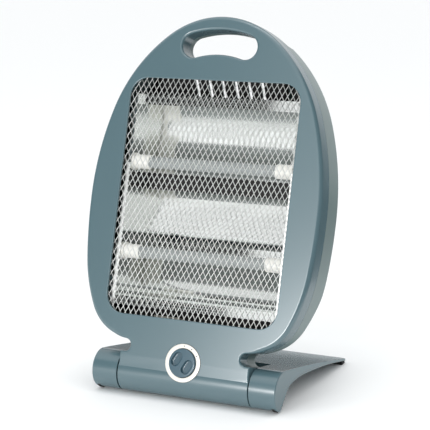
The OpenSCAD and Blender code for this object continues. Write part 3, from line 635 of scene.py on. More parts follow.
def quartz():
    """Milky fused quartz: drawn bubbles scatter the light that goes through.

    Real ones are finer than a hair and are drawn coarser, as faint streaks along the tube.
    """
    finish, tree, place = new_finish("quartz_milky")
    along, between = 1 / (BUBBLE_MM * MM), 1 / (BUBBLE_PITCH_MM * MM)
    drawn = add(tree, "ShaderNodeMapping", {
        "Vector": place, "Scale": (along, between, between)})
    bubbles = add(tree, "ShaderNodeTexNoise", {
        "Vector": drawn.outputs["Vector"], "Scale": 1.0, "Detail": 2.0})
    gloss = add(tree, "ShaderNodeMapRange", {
        "Value": bubbles.outputs["Fac"], "To Min": 0.14, "To Max": 0.26})
    shader = add(tree, "ShaderNodeBsdfPrincipled", {
        "Base Color": colour("c9cfce"), "IOR": 1.46, "Transmission Weight": 0.5,
        "Roughness": gloss.outputs["Result"]})
    close_finish(tree, shader)
    return finish


QUARTZ = quartz()

# ---- Front moulding ---------------------------------------------------------

DIAL_V = 15.65
DIAL_R = 19.3
DIAL_GAP = 0.4  # shadow line round the dial
WELL_R = 14.9
WELL_FLOOR = FRONT_W - 9
RING_SUNK = 1.3
THREAD_R = 4.6
BARREL_ROLL = 0.8
POST_IN = 0.5  # how far posts and the cup run into the wall that carries them
PAST = 5  # how far a cutter runs past the surface that it opens
NECK_PLACE = Matrix.Translation((0, DIAL_V, 0))


def front_level(v, drop):
    """w of the front face, which sinks a little below SINK_V so that the barrel swells out."""
    return FRONT_W - drop - SINK * max(SINK_V - v, 0) / SINK_V


def barrel(name, radius, half, roll):
    """A round bar along the width with rolled ends."""
    profile = [(0, -half)]
    profile += [(radius - short, -half + inward) for inward, short in rolled(roll, 3)]
    profile += [(r, -h) for r, h in reversed(profile)]
    made = turned(name, profile, 120, closed=False)
    return moved(made, Matrix.Rotation(rad(90), 4, "Y"))


def half_room(name, low, high):
    """A block that keeps one half of a barrel."""
    side = 2 * BARREL_R
    end = BARREL_HALF + BARREL_R
    return across(name, [(-side, low), (side, low), (side, high), (-side, high)], -end, end)


def neck_room(low, high):
    """The hollow of the neck between the two walls."""
    half = NECK_HALF - NOTCH_R - WALL
    bottom, top = 6, CASE_BOTTOM + 8
    room = [(-half, bottom), (half, bottom), (half, top), (-half, top)]
    return prism("neck_room", room, low, high)


def barrel_room():
    """The hollow of the hinge barrel."""
    return barrel("barrel_room", BARREL_R - WALL, BARREL_HALF - WALL, 0.6)


def hole_tube(low, high):
    """The wall round the handle hole, taken from the room of a moulding."""
    return prism("hole_tube", hole_outline(WALL), low, high)


def window_outline(grow):
    """The window, larger by grow all round."""
    return slab_outline(WIN_HALF + grow, WIN_LOW - grow, WIN_HIGH + grow, WIN_R + grow)


def dial_cut():
    """The knob's well and the wider seat of the dial's ring, as a cutter."""
    seat_r, seat, top = DIAL_R + DIAL_GAP, FRONT_W - RING_SUNK, FRONT_W + 3
    profile = [(0, WELL_FLOOR), (WELL_R, WELL_FLOOR), (WELL_R, seat), (seat_r, seat),
               (seat_r, top), (0, top)]
    return moved(turned("dial_cut", profile, 128, closed=False), NECK_PLACE)


def dial_cup():
    """The cup behind the dial that holds the switch by its threaded bush."""
    outer, bore, top = WELL_R + WALL, THREAD_R + 0.1, FRONT_INNER + POST_IN
    profile = [(bore, WELL_FLOOR - WALL), (outer, WELL_FLOOR - WALL), (outer, top),
               (WELL_R, top), (WELL_R, WELL_FLOOR), (bore, WELL_FLOOR)]
    return moved(turned("dial_cup", profile, 128), NECK_PLACE)


CHEEK_POST_U = 101.5
CHEEK_POSTS = [(s * CHEEK_POST_U, v) for s in (-1, 1) for v in (WIN_LOW + 35, WIN_HIGH - 38)]
CHEEK_POST_LOW = 11
CHEEK_POST_R, CASE_POST_R, POST_BORE_R = 3.2, 4, 1.4
POST_BORE = 12
CASE_SCREWS = [(s * u, v) for s in (-1, 1) for u, v in (
    (CASE_HALF - 17, SIDE_LOW - 63),
    (CASE_HALF - 17, SIDE_HIGH + 57),
    (SCOOP_HALF + WALL + 6, SCOOP_FLAT - 3),
    (NECK_HALF - 20, CASE_BOTTOM - NOTCH_R),
)]


def post(name, u, v, radius, bore, low, high):
    """A screw post with a blind bore that opens at its low end."""
    end = low + min(POST_BORE, high - low - 1)
    profile = [(bore, low), (radius, low), (radius, high), (0, high), (0, end), (bore, end)]
    return shifted(turned(name, profile, 32), u, v)


def front_moulding():
    """The front of the casing with its window, hole, dial seat and screw posts."""
    rings = [seam_ring(PART_W, SEAM), seam_ring(PART_W + SEAM, 0)]
    rings += [casing_ring(FRONT_EDGE, a, DRAFT, front_level) for a in TURNS]
    body = loft("front_moulding", rings, (SINK_STEPS,))
    room = loft("room", [egg_ring(WALL, lambda v: PART_W - 1)] + [
        egg_ring(WALL + DRAFT + inward, lambda v, short=short: FRONT_INNER - short)
        for inward, short in rolled(FRONT_EDGE - WALL)])
    cut(room, hole_tube(-PAST, FRONT_W + PAST))
    top = FRONT_W + PAST
    window = flared_cut("window", window_outline, FRONT_INNER - 1, FRONT_W, WIN_LIP, top)
    hole = flared_cut("hole", hole_outline, PART_W - 1, FRONT_W, HOLE_LIP, top)
    cut(body, room, window, hole, neck_room(0, FRONT_INNER), barrel_room(), dial_cut())
    roll = barrel("front_barrel", BARREL_R, BARREL_HALF, BARREL_ROLL)
    cut(roll, half_room("low_half", -2 * BARREL_R, PART_W + SEAM / 2), barrel_room(),
        neck_room(0, FRONT_INNER), dial_cut())
    high = FRONT_INNER + POST_IN
    posts = [post("post", u, v, CHEEK_POST_R, POST_BORE_R, CHEEK_POST_LOW, high)
             for u, v in CHEEK_POSTS]
    posts += [post("post", u, v, CASE_POST_R, POST_BORE_R, PART_W, high) for u, v in CASE_SCREWS]
    join(body, roll, dial_cup(), *posts)
    return settle(body, "casing", CASING_ABS, ["front_shell"])


# ---- Rear moulding ----------------------------------------------------------

VENT_W = 3.2
VENT_PITCH = 14.9
VENT_COUNT = 6
VENT_ROWS = ((SCOOP_LOW + 8, SCOOP_FLAT - 5), (BACK_LOW - 12, BACK_LOW + 14))
GLAND = (25 - WIN_HALF, BACK_LOW + 12)
GLAND_R = 6
SCREW_SHELF = -6
SCREW_HEAD_R = 3.2
SCREW_HOLE_R = 1.6
WELL_IN = 0.6  # how far the screw wells run into the back wall
MOUTH = 4  # how far the cuts for screws and gland go on past the wall
SCOOP_ROLL = 9  # widest roll of the recess's side walls
SCOOP_LEAST = 0.02
SCOOP_DEEP = 2.2  # depth of the recess over the radius of its roll
ROOM_SPLITS = (26, 33)  # points of the egg where its corner ends and where the slope does
PAINTED_SHADE_TOP = -4  # the painted shade inside stops short of the parting line


def scoop(grow):
    """The hand recess behind the handle as a cutter: its floor slopes up to the flat part
    and its side walls roll out onto the back; grow makes it larger for the inner wall."""
    half = SCOOP_HALF + grow
    rise = (SCOOP_W + BACK_W) / (SCOOP_FLAT - SCOOP_LOW)
    outside = -BACK_W - 12
    rings = []
    heights = [SCOOP_LOW + run for run in (-3, 0, 2, 4, 8, 16, 24)]
    for v in heights + [SCOOP_FLAT, SCOOP_FLAT + 12, CASE_TOP + 12]:
        floor = min(-BACK_W + rise * (v - SCOOP_LOW), SCOOP_W) + grow
        r = min(max((floor - grow + BACK_W) / SCOOP_DEEP, SCOOP_LEAST), SCOOP_ROLL)
        edge = rolled(r, 5)
        ring = [(half + r, outside)]
        ring += [(half + short, min(-BACK_W + inward, floor - r)) for inward, short in edge]
        ring += [(half - inward, floor - short) for inward, short in edge]
        rings.append([(u, v, w) for u, w in ring + flipped(ring)])
    return loft("scoop", rings)


def rear_level(v, drop):
    """w of the back face and of the roll round it."""
    return back_face(v) + drop


def back_splits():
    """Where the back's cap bends: at the egg's bottom and at the top of the slope."""
    heights = [v for (_, v), _, _ in CASING_SIDE]
    return [next(i for i, v in enumerate(heights) if i > NECK_POINTS and v > height)
            for height in (CASE_BOTTOM + 0.2, BACK_LOW - 3)]


def rear_moulding():
    """The back of the casing with its recess, vents and screw wells, and painted shade inside."""
    rings = [seam_ring(PART_W, SEAM), seam_ring(PART_W - SEAM, 0)]
    rings += [casing_ring(BACK_EDGE, a, DRAFT, rear_level) for a in TURNS]
    body = loft("rear_moulding", rings, back_splits())
    room_rings = [egg_ring(WALL, lambda v: PART_W + 1)] + [
        egg_ring(WALL + DRAFT + inward, lambda v, short=short: back_face(v) + WALL + short)
        for inward, short in rolled(BACK_EDGE - WALL)]
    room = loft("room", room_rings, ROOM_SPLITS)
    outside = -BACK_W - PAST
    cut(room, hole_tube(outside, FRONT_W + PAST), scoop(WALL))
    hole = flared_cut("hole", hole_outline, PART_W + 1, SCOOP_W, HOLE_LIP, outside)
    first = (1 - VENT_COUNT) / 2
    vents = [prism("vent", slot_outline((first + i) * VENT_PITCH, VENT_W, low, high),
                   outside, SCOOP_W - 2) for low, high in VENT_ROWS for i in range(VENT_COUNT)]
    inlet = shifted(plug("inlet", GLAND_R, outside, MOUTH - BACK_W, 64), *GLAND)
    cut(body, room, scoop(0), hole, neck_room(-BARREL_R + WALL, 2), barrel_room(), *vents, inlet)
    roll = barrel("rear_barrel", BARREL_R, BARREL_HALF, BARREL_ROLL)
    cut(roll, half_room("high_half", PART_W - SEAM / 2, 2 * BARREL_R), barrel_room(),
        neck_room(-BARREL_R + WALL, 2))
    posts = []
    for u, v in CASE_SCREWS:
        wall_w = back_face(v) + WELL_IN
        well = [(SCREW_HEAD_R, wall_w), (CASE_POST_R, wall_w), (CASE_POST_R, PART_W),
                (SCREW_HOLE_R, PART_W), (SCREW_HOLE_R, SCREW_SHELF), (SCREW_HEAD_R, SCREW_SHELF)]
        posts.append(shifted(turned("well", well, 32), u, v))
        cut(body, shifted(plug("mouth", SCREW_HEAD_R, outside, wall_w + MOUTH, 32), u, v))
    join(body, roll, *posts)
    # Faces inside the back that look forwards get the black painted shade
    inside = [face.normal.z > 0.3 and -BACK_W < face.center.z < PAINTED_SHADE_TOP
              and face.center.y > CASE_BOTTOM for face in body.data.polygons]
    settle(body, "casing", REAR_ABS, ["rear_shell"])
    body.data.materials.append(PAINTED_SHADE_INSIDE)
    body.data.polygons.foreach_set("material_index", [int(dark) for dark in inside])
    return body


# ---- Grille -----------------------------------------------------------------

MESH_W = 6.1
MESH_H = 11
STRAND_W = 0.7
STRAND_T = 0.6
STRAND_SIDES = 8
LAYERS = (0.3, 0.85)  # how far the middles of the two layers lie behind the rim
RIM_W = 3
RIM_CLEAR = 0.6  # from the window's edge to the rim, and from strand ends to the rim's edge
RIM_LOW = FRONT_INNER - 1
MESH_TURN = math.degrees(math.atan2(MESH_H, MESH_W))
STRAND_GAP = MESH_W * math.sin(rad(MESH_TURN))
EAR_U = 100.6
EAR_R, EAR_BORE = 3.4, 1.3
EARS = [(s * EAR_U, v) for s in (-1, 1)
        for v in (WIN_LOW + WIN_R + 1, WIN_MID, WIN_HIGH - WIN_R - 3)]


def crossings(origin, direction, outline):
    """Where a line enters and leaves a closed outline."""
    found = []
    for (ax, ay), (bx, by) in zip(outline, outline[1:] + outline[:1]):
        ex, ey = bx - ax, by - ay
        det = direction[0] * ey - direction[1] * ex
        if abs(det) < 1e-9:
            continue
        gx, gy = ax - origin[0], ay - origin[1]
        if 0 <= (gx * direction[1] - gy * direction[0]) / det <= 1:
            found.append((gx * ey - gy * ex) / det)
    return (min(found), max(found)) if len(found) > 1 else None


def strand_section():
    """Rounded cross-section of one strand: across the strand, and through the sheet."""
    half_turn = 180 / STRAND_SIDES
    made = []
    for i in range(STRAND_SIDES):
        a = rad(half_turn + 2 * half_turn * i)
        made.append((STRAND_W / 2 * math.cos(a) / math.cos(rad(half_turn)),
                     STRAND_T / 2 * math.sin(a) / math.cos(rad(half_turn))))
    return made


def strand(ends, direction, middle_w, vertices, faces):
    """Adds one straight strand between two ends to the vertices and faces."""
    side = (-direction[1], direction[0])
    first = len(vertices)
    section = strand_section()
    for end in ends:
        for a, b in section:
            vertices.append((end[0] + side[0] * a, end[1] + side[1] * a, middle_w + b))
    n = len(section)
    for i in range(n):
        j = (i + 1) % n
        faces.append([first + i, first + j, first + n + j, first + n + i])
    faces.append([first + i for i in range(n)])
    faces.append([first + n + i for i in range(n)])


def grille():
    """Diamond mesh of two layers of strands, on a rim with ears for its screws."""
    edge = slab_outline(WIN_HALF + RIM_W - RIM_CLEAR, WIN_LOW - RIM_W + RIM_CLEAR,
                        WIN_HIGH + RIM_W - RIM_CLEAR, WIN_R)
    half_height = (WIN_HIGH - WIN_LOW) / 2
    reach = WIN_HALF * math.sin(rad(MESH_TURN)) + half_height * math.cos(rad(MESH_TURN))
    count = int((reach + RIM_W) / STRAND_GAP)
    vertices, faces = [], []
    for lean, behind in zip((MESH_TURN, -MESH_TURN), LAYERS):
        middle_w = RIM_LOW - behind
        direction = (math.cos(rad(lean)), math.sin(rad(lean)))
        for i in range(-count, count + 1):
            origin = (-direction[1] * i * STRAND_GAP, WIN_MID + direction[0] * i * STRAND_GAP)
            span = crossings(origin, direction, edge)
            if span:
                ends = [(origin[0] + t * direction[0], origin[1] + t * direction[1]) for t in span]
                strand(ends, direction, middle_w, vertices, faces)
    body = piece_from("grille_mesh", vertices, faces)
    rim = prism("rim", slab_outline(WIN_HALF + RIM_W, WIN_LOW - RIM_W, WIN_HIGH + RIM_W, WIN_R),
                RIM_LOW, FRONT_INNER)
    inner = slab_outline(WIN_HALF + RIM_CLEAR, WIN_LOW - RIM_CLEAR, WIN_HIGH + RIM_CLEAR, WIN_R)
    cut(rim, prism("inner", inner, RIM_LOW - 1, FRONT_INNER + 1))
    ear = [(EAR_BORE, RIM_LOW), (EAR_R, RIM_LOW), (EAR_R, FRONT_INNER), (EAR_BORE, FRONT_INNER)]
    ears = [shifted(turned("ear", ear, 32), u, v) for u, v in EARS]
    join(body, rim, *ears)
    return settle(body, "casing", NICKEL, ["grille"], sharp=50)


# ---- Reflector, coils and ceramics --------------------------------------------

TUBE_MID = WIN_MID - 10.7
TUBE_V = (TUBE_MID + 47, TUBE_MID - 47)
TUBE_W = 1.5
TUBE_R = 6.25
CHEEK_U = WIN_HALF - 5
SHEET_T = 0.6

# Troughs behind the tubes: v of each one's deepest line, how far inside the window its arc
# ends, and the w that the arc ends at
TROUGH_W = 4.5 - BACK_W
UPPER_V, UPPER_END, UPPER_W = TUBE_V[0] - 8, 25.8, 3
LOWER_V, LOWER_END, LOWER_W = TUBE_V[1] + 5, 17.6, 0
TOP_END = 14.8
LOW_LIP = 9
TROUGH_STEPS = 24

# The lower sheet starts below a gap, which shows as a black band through the mesh. Its ridge
# has facets, each mirroring another part of the studio: (v past the crest, w past the trough)
GAP_LOW, GAP_W = TUBE_V[0] - 25.5, TROUGH_W - 0.7
RIDGE_V = TUBE_MID - 24
RIDGE = ((18, 8.2), (16, 9.6), (0, 14.4), (-8, 0))


def bow_radius(run, rise):
    """Radius of an arc that rises by rise over run."""
    return (run * run + rise * rise) / (2 * rise)


def reflector_paths():
    """(v, w) points of the upper trough, and of the ridge with the lower trough."""
    upper_r = bow_radius(WIN_HIGH - UPPER_END - UPPER_V, UPPER_W - TROUGH_W)
    lower_r = bow_radius(LOWER_V - WIN_LOW - LOWER_END, LOWER_W - TROUGH_W)
    upper_turn = math.degrees(math.acos((TROUGH_W + upper_r - UPPER_W) / upper_r))
    lower_turn = math.degrees(math.acos((TROUGH_W + lower_r - LOWER_W) / lower_r))
    upper = [(WIN_HIGH - TOP_END, UPPER_W)]
    lower = [(GAP_LOW, GAP_W)]
    lower += [(RIDGE_V + v, TROUGH_W + w) for v, w in RIDGE]
    for i in range(TROUGH_STEPS + 1):
        a = rad(upper_turn * (1 - i / TROUGH_STEPS))
        upper.append((UPPER_V + upper_r * math.sin(a), TROUGH_W + upper_r * (1 - math.cos(a))))
        a = rad(lower_turn * i / TROUGH_STEPS)
        lower.append((LOWER_V - lower_r * math.sin(a), TROUGH_W + lower_r * (1 - math.cos(a))))
    lower.append((lower[-1][0] - LOW_LIP, LOWER_W))
    return upper, lower


def reflector():
    """Bent sheets; a back face follows the front one at the sheet's thickness."""
    sheets = []
    for points in reflector_paths():
        path = [Vector(p) for p in points]
        back = []
        for i, p in enumerate(path):
            before = (p - path[i - 1]).normalized() if i else (path[1] - p).normalized()
            after = (path[i + 1] - p).normalized() if i < len(path) - 1 else before
            mean = Vector((-before.y - after.y, before.x + after.x))
            back.append(p + mean * (2 * SHEET_T / mean.length_squared))
        outline = [tuple(p) for p in path] + [tuple(p) for p in reversed(back)]
        sheets.append(across("reflector_sheet", outline, -CHEEK_U, CHEEK_U))
    body = join(*sheets)
    return settle(body, "casing", REFLECTOR_METAL, ["reflector"], sharp=20)


CHEEK_W = 11
CHEEK_LOW = WIN_LOW + 9
CHEEK_HIGH = WIN_MID + 34
EDGE_SPAN = (CHEEK_U + 0.1, CHEEK_U + 4.5)
EDGE_T = (0.02, 0.5)  # clear of the cheek's own face, so that the two don't fight


def cheek_edges():
    """The cheeks' folded front edges, which catch the light low in the window."""
    edges = []
    for side in (-1, 1):
        near, far = sorted(side * u for u in EDGE_SPAN)
        outline = [(near, CHEEK_LOW), (far, CHEEK_LOW), (far, CHEEK_HIGH), (near, CHEEK_HIGH)]
        edges.append(prism("cheek_edge", outline, *(CHEEK_W + t for t in EDGE_T)))
    body = join(*edges)
    body.name = "cheek_edges"
    return settle(body, "casing", EDGE_METAL)


COIL_R = 3.9
COIL_END = 13
COIL_TURNS = 62
TURN_STEPS = 14
WIRE_R = 0.45
WIRE_SIDES = 6


def coil(node, v):
    """Close winding of resistance wire on a free helix."""
    half = CHEEK_U - COIL_END
    steps = COIL_TURNS * TURN_STEPS
    n = WIRE_SIDES
    vertices, faces = [], []
    for i in range(steps + 1):
        a = 2 * math.pi * i / TURN_STEPS
        c, s = math.cos(a), math.sin(a)
        u = -half + 2 * half * i / steps
        for side in range(n):
            b = 2 * math.pi * side / n
            r = COIL_R + WIRE_R * math.cos(b)
            vertices.append((u + WIRE_R * math.sin(b), v + r * c, TUBE_W + r * s))
    for i in range(steps):
        for side in range(n):
            j = (side + 1) % n
            faces.append([n * i + side, n * i + j, n * i + n + j, n * i + n + side])
    faces += [list(range(n)), list(range(n * steps, n * steps + n))]
    body = piece_from(node + "_winding", vertices, faces)
    return settle(body, "casing", OXIDE_WIRE, [node], sharp=80)


CERAMIC_R = 7.4
CERAMIC_IN, CERAMIC_OUT = 19, 9  # lengths on the two sides of the cheek
COLLAR_R, COLLAR_T = 9, 2.5
SOCKET_R, SOCKET_END = TUBE_R + 0.05, 12
WIRE_BORE = 1.6


def ceramics():
    """Pressed end pieces with a collar against the cheek, all corners eased."""
    ends = []
    low, high, socket = CHEEK_U - CERAMIC_IN, CHEEK_U + CERAMIC_OUT, CHEEK_U - SOCKET_END
    collar = CHEEK_U - COLLAR_T
    ease, inner_ease, outer_ease = 0.4, 0.5, 0.8
    profile = [(SOCKET_R, low), (CERAMIC_R - inner_ease, low), (CERAMIC_R, low + inner_ease),
               (CERAMIC_R, collar), (COLLAR_R - ease, collar), (COLLAR_R, collar + ease),
               (COLLAR_R, CHEEK_U - ease), (COLLAR_R - ease, CHEEK_U), (CERAMIC_R, CHEEK_U),
               (CERAMIC_R, high - outer_ease), (CERAMIC_R - outer_ease, high),
               (WIRE_BORE, high), (WIRE_BORE, socket), (SOCKET_R, socket)]
    for v in TUBE_V:
        for side in (-1, 1):
            body = turned("ceramic", profile, 64)
            moved(body, Matrix.Rotation(rad(90 * side), 4, "Y"))
            ends.append(shifted(body, 0, v, TUBE_W))
    body = join(*ends)
    body.name = "ceramic_sockets"
    return settle(body, "casing", STEATITE, ["ceramic_ends"], sharp=50)


# ---- Dial and knob ------------------------------------------------------------

RING_TOP = FRONT_W + 0.8
KNOB_R = 14.5
KNOB_TOP = FRONT_W + 3
KNOB_LOW = WELL_FLOOR + 0.4
KNOB_ROLL = 1
KNOB_HOLLOW_R, KNOB_HOLLOW = 7.8, 2.4
KNOB_BORE_R = 3.05
BORE_TOP = 0.95  # how far under the pockets the shaft's bore ends
GRIP_TURN = 30
FINGER_R = 4.6
FINGER_SIDE = 6.9
FINGER_RUN = 3
FINGER_DEPTH = 3
FINGER_ROUND = 1.6
FINGER_LIP = 0.35
MARK_TURNS = (0, 30, 60)
MARK_R = 0.6
RING_EASE = 0.35


def dial_ring():
    """The silver ring round the knob with a dark dot at each setting."""
    ease, slight = RING_EASE, RING_EASE * 0.3
    profile = [(WELL_R, FRONT_W - RING_SUNK), (DIAL_R, FRONT_W - RING_SUNK),
               (DIAL_R, RING_TOP - ease), (DIAL_R - slight, RING_TOP - slight),
               (DIAL_R - ease, RING_TOP), (WELL_R + ease, RING_TOP),
               (WELL_R + slight, RING_TOP - slight), (WELL_R, RING_TOP - ease)]
    body = moved(turned("dial_bezel", profile, 128), NECK_PLACE)
    marks = []
    for turn in MARK_TURNS:
        spin = Matrix.Rotation(rad(-turn), 4, "Z")
        at = Matrix.Translation((0, (DIAL_R + WELL_R) / 2, 0))
        dot = plug("mark", MARK_R, RING_TOP - 0.3, RING_TOP + 0.02, 24)
        marks.append(moved(dot, NECK_PLACE @ spin @ at))
    dots = join(*marks)
    dots.name = "dial_marks"
    settle(dots, "casing", BLACK_PA)
    return settle(body, "casing", silver_paint(), ["dial_ring"])


def finger_pocket(side):
    """An oval pocket with a rounded floor and an eased rim."""
    def outline(inset):
        return slot_outline(side * FINGER_SIDE, 2 * (FINGER_R - inset), -FINGER_RUN, FINGER_RUN, 16)
    floor = KNOB_TOP - FINGER_DEPTH
    levels = [(short, floor + inward) for inward, short in rolled(FINGER_ROUND, 4)]
    levels += [(0, KNOB_TOP - 0.3), (-FINGER_LIP, KNOB_TOP + 0.05), (-FINGER_LIP, KNOB_TOP + 2)]
    return loft("pocket", [[(u, v, w) for u, v in outline(inset)] for inset, w in levels])


def knob():
    """Round knob, hollow behind, with two finger pockets that leave a grip between them."""
    bore_top, hollow = KNOB_TOP - FINGER_DEPTH - BORE_TOP, KNOB_LOW + KNOB_HOLLOW
    profile = [(0, bore_top), (KNOB_BORE_R, bore_top), (KNOB_BORE_R, hollow),
               (KNOB_HOLLOW_R, hollow), (KNOB_HOLLOW_R, KNOB_LOW), (KNOB_R, KNOB_LOW)]
    profile += [(KNOB_R - inward, KNOB_TOP - short) for inward, short in rolled(KNOB_ROLL, 5)]
    profile.append((0, KNOB_TOP))
    body = turned("selector_knob", profile, 128, closed=False)
    cut(body, finger_pocket(-1), finger_pocket(1))
    moved(body, NECK_PLACE @ Matrix.Rotation(rad(-GRIP_TURN), 4, "Z"))
    return settle(body, "knob", KNOB_ABS, ["knob"])


# ---- Foot -----------------------------------------------------------------------

FOOT_HALF = 102.2
FOOT_REACH = 188.6
FOOT_WALL = 2.4
END_INNER = BARREL_HALF + 1.2
HINGE_H = 20.7
TIP_Z = 1.5 - HINGE_H
TIP_T = 2.6
PLATE_FRONT = 39
PLATE_CORNER = 10
FOOT_EDGE = 1.2
ROUGH = 60  # height that the foot's upright cutters reach up and down


def bend(start, radius, begin, end, steps):
    """Points of a path that starts with one slope and bends to another."""
    made = []
    for i in range(1, steps + 1):
        a = rad(begin + (end - begin) * i / steps)
        made.append((start[0] + radius * (math.sin(rad(begin)) - math.sin(a)),
                     start[1] + radius * (math.cos(a) - math.cos(rad(begin)))))
    return made


def bend_to_tip(start, z, begin, steps):
    """A bend that starts with a slope and ends at the tip's height z."""
    end = 2 * math.degrees(math.atan2(z - start[1], FOOT_REACH - start[0])) - begin
    radius = (FOOT_REACH - start[0]) / (math.sin(rad(begin)) - math.sin(rad(end)))
    return bend(start, radius, begin, end, steps)


# Slopes of the side view in degrees: the plate's top, the toe's front and the underside
TOP_SLOPE = -9.3
TOE_TURN = 12.7
TOE_RUN, TOE_SLOPE = 22.5, 43
HEEL_R, HEEL_SLOPE = 20, 6.5
ARCH_R, ARCH_SLOPE = 170, -5


def foot_arc(radius):
    """Front of an end barrel from the top line's start round to the toe."""
    return arc(0, 0, radius, 90 + TOP_SLOPE, 180 - TOP_SLOPE - TOE_TURN, 56)


FOOT_FRONT = foot_arc(BARREL_R)
TOE = FOOT_FRONT[-1]
TOE_TOP = (TOE[0] + TOE_RUN * math.cos(rad(TOE_SLOPE)), TOE[1] + TOE_RUN * math.sin(rad(TOE_SLOPE)))
HEEL = bend(TOE_TOP, HEEL_R, TOE_SLOPE, HEEL_SLOPE, 12)
ARCH = bend(HEEL[-1], ARCH_R, HEEL_SLOPE, ARCH_SLOPE, 8)
UNDER = bend_to_tip(ARCH[-1], TIP_Z, ARCH_SLOPE, 10)
TOP_LINE = bend_to_tip(FOOT_FRONT[0], TIP_Z + TIP_T, TOP_SLOPE, 12)


def foot_outline():
    """Side view of the foot: barrel, toe, arch and the long plate down to its tip."""
    return FOOT_FRONT + [TOE_TOP] + HEEL + ARCH + UNDER + TOP_LINE[::-1]


def height_at(path, y):
    """Height of a path of (y, z) points over y."""
    for (y0, z0), (y1, z1) in zip(path, path[1:]):
        if y0 <= y <= y1:
            return z0 + (z1 - z0) * (y - y0) / (y1 - y0)
    return path[-1][1]


POCKET_END = FOOT_REACH - 52
POCKET_LOW = -50  # the pockets open downwards
CROSS_RIB = (PLATE_FRONT + POCKET_END) / 2 - 4
BAYS = 3  # hollows between the ribs, on each side of the middle one
RIB_PITCH = (END_INNER + FOOT_WALL / 2) / BAYS
GAP_CORNER = 3
PIN_R = 4
PIN_ROOT = 6


def foot_pocket(low, high):
    """The hollow under the skin between two ribs, on both sides of the cross rib."""
    skin = FOOT_WALL / math.cos(rad(TOP_SLOPE))
    in_barrel = low > END_INNER
    roof = [(y, z - skin) for y, z in [FOOT_FRONT[0]] + TOP_LINE if y < POCKET_END - 1]
    roof.append((POCKET_END, height_at(TOP_LINE, POCKET_END) - skin))
    if in_barrel:
        room = foot_arc(BARREL_R - FOOT_WALL) + [(TOE[0] + FOOT_WALL, POCKET_LOW)]
        del roof[0]
    else:
        edge = PLATE_FRONT + FOOT_WALL
        room = [(edge, POCKET_LOW)]
        roof = [(edge, height_at(roof, edge))] + [p for p in roof if p[0] > edge + 1]
    pocket = across("pocket", room + [(POCKET_END, POCKET_LOW)] + roof[::-1], low, high)
    near, far = CROSS_RIB - FOOT_WALL / 2, CROSS_RIB + FOOT_WALL / 2
    rib = [(near, -ROUGH), (far, -ROUGH), (far, ROUGH), (near, ROUGH)]
    cut(pocket, across("rib", rib, low - 1, high + 1))
    if in_barrel:
        cut(pocket, axle(PIN_R + 3, END_INNER, END_INNER + FOOT_WALL + PIN_ROOT))
    return pocket


def axle(radius, start, end):
    """A round bar on the hinge axis."""
    return moved(plug("axle", radius, start, end, 64), Matrix.Rotation(rad(90), 4, "Y"))


SEAM_TURN, SEAM_W, SEAM_DEEP = 8, 0.9, 1.4


def cover_seam():
    """Groove on the crest of an end barrel, where its front cover meets the plate."""
    c, s = math.cos(rad(90 + SEAM_TURN)), math.sin(rad(90 + SEAM_TURN))
    corners = ((BARREL_R - SEAM_DEEP, -1), (BARREL_R + 1, -1), (BARREL_R + 1, 1),
               (BARREL_R - SEAM_DEEP, 1))
    outline = [(r * c - t * SEAM_W / 2 * s, r * s + t * SEAM_W / 2 * c) for r, t in corners]
    return across("seam", outline, END_INNER - 1, FOOT_HALF - FOOT_WALL)


PAD_U = (96.2, 99.2)
REAR_PAD = (FOOT_REACH - 14, FOOT_REACH - 5)
PAD_DEEP = 0.9
PAD_TURN = 226  # angle on the barrel at which the front strip starts
PAD_PROUD, PAD_SWELL = 0.45, 0.5
PAD_STEPS = 16


def front_pad():
    """A rubber strip let into the underside of an end barrel; its low end meets the floor."""
    turns = [rad(PAD_TURN + (270 - TOE_TURN - PAD_TURN) * i / PAD_STEPS)
             for i in range(PAD_STEPS + 1)]
    outer = [(BARREL_R + PAD_PROUD + PAD_SWELL * i / PAD_STEPS, a) for i, a in enumerate(turns)]
    outer[0] = (BARREL_R + 0.1, turns[0])
    outline = [(r * math.cos(a), r * math.sin(a)) for r, a in outer]
    outline += [((BARREL_R - PAD_DEEP) * math.cos(a), (BARREL_R - PAD_DEEP) * math.sin(a))
                for a in reversed(turns)]
    return across("front_pad", outline, *PAD_U)


def rear_pad():
    """A rubber block under a rear corner of the plate."""
    y0, y1 = REAR_PAD
    outline = [(y0, -HINGE_H), (y1, -HINGE_H), (y1, height_at(UNDER, y1) + PAD_DEEP),
               (y0, height_at(UNDER, y0) + PAD_DEEP)]
    return across("rear_pad", outline, FOOT_HALF - 14, FOOT_HALF - 2)


def all_pads():
    """The four pads, as the rubber and also as the cutters of their seats in the foot."""
    pads = [front_pad(), rear_pad()]
    return pads + [mirrored(pad) for pad in pads]


def rubber_pads():
    body = join(*all_pads())
    body.name = "rubber_pads"
    return settle(body, "foot", RUBBER, ["rubber_feet"], FOOT_PLACE)


def inset_outline(outline, inset):
    """The outline drawn in by inset along its corners' bisectors."""
    points = [Vector(p) for p in outline]
    area = sum(a.x * b.y - b.x * a.y for a, b in zip(points, points[1:] + points[:1]))
    turn = 1 if area > 0 else -1
    made = []
    for i, p in enumerate(points):
        before = (p - points[i - 1]).normalized()
        after = (points[(i + 1) % len(points)] - p).normalized()
        mean = Vector((-before.y - after.y, before.x + after.x)) * turn
        made.append(tuple(p + mean * (2 * inset / mean.length_squared)))
    return made


def foot_plan():
    """The foot from above, which rounds the plate's rear corners; wider than the foot in front."""
    side, front, corner = FOOT_HALF + 1, -BARREL_R - 5, FOOT_REACH - PLATE_CORNER
    right = [(side, corner)] + arc(FOOT_HALF - PLATE_CORNER, corner, PLATE_CORNER, 0, 90, 14)
    return [(-side, front), (side, front)] + right + flipped(right)


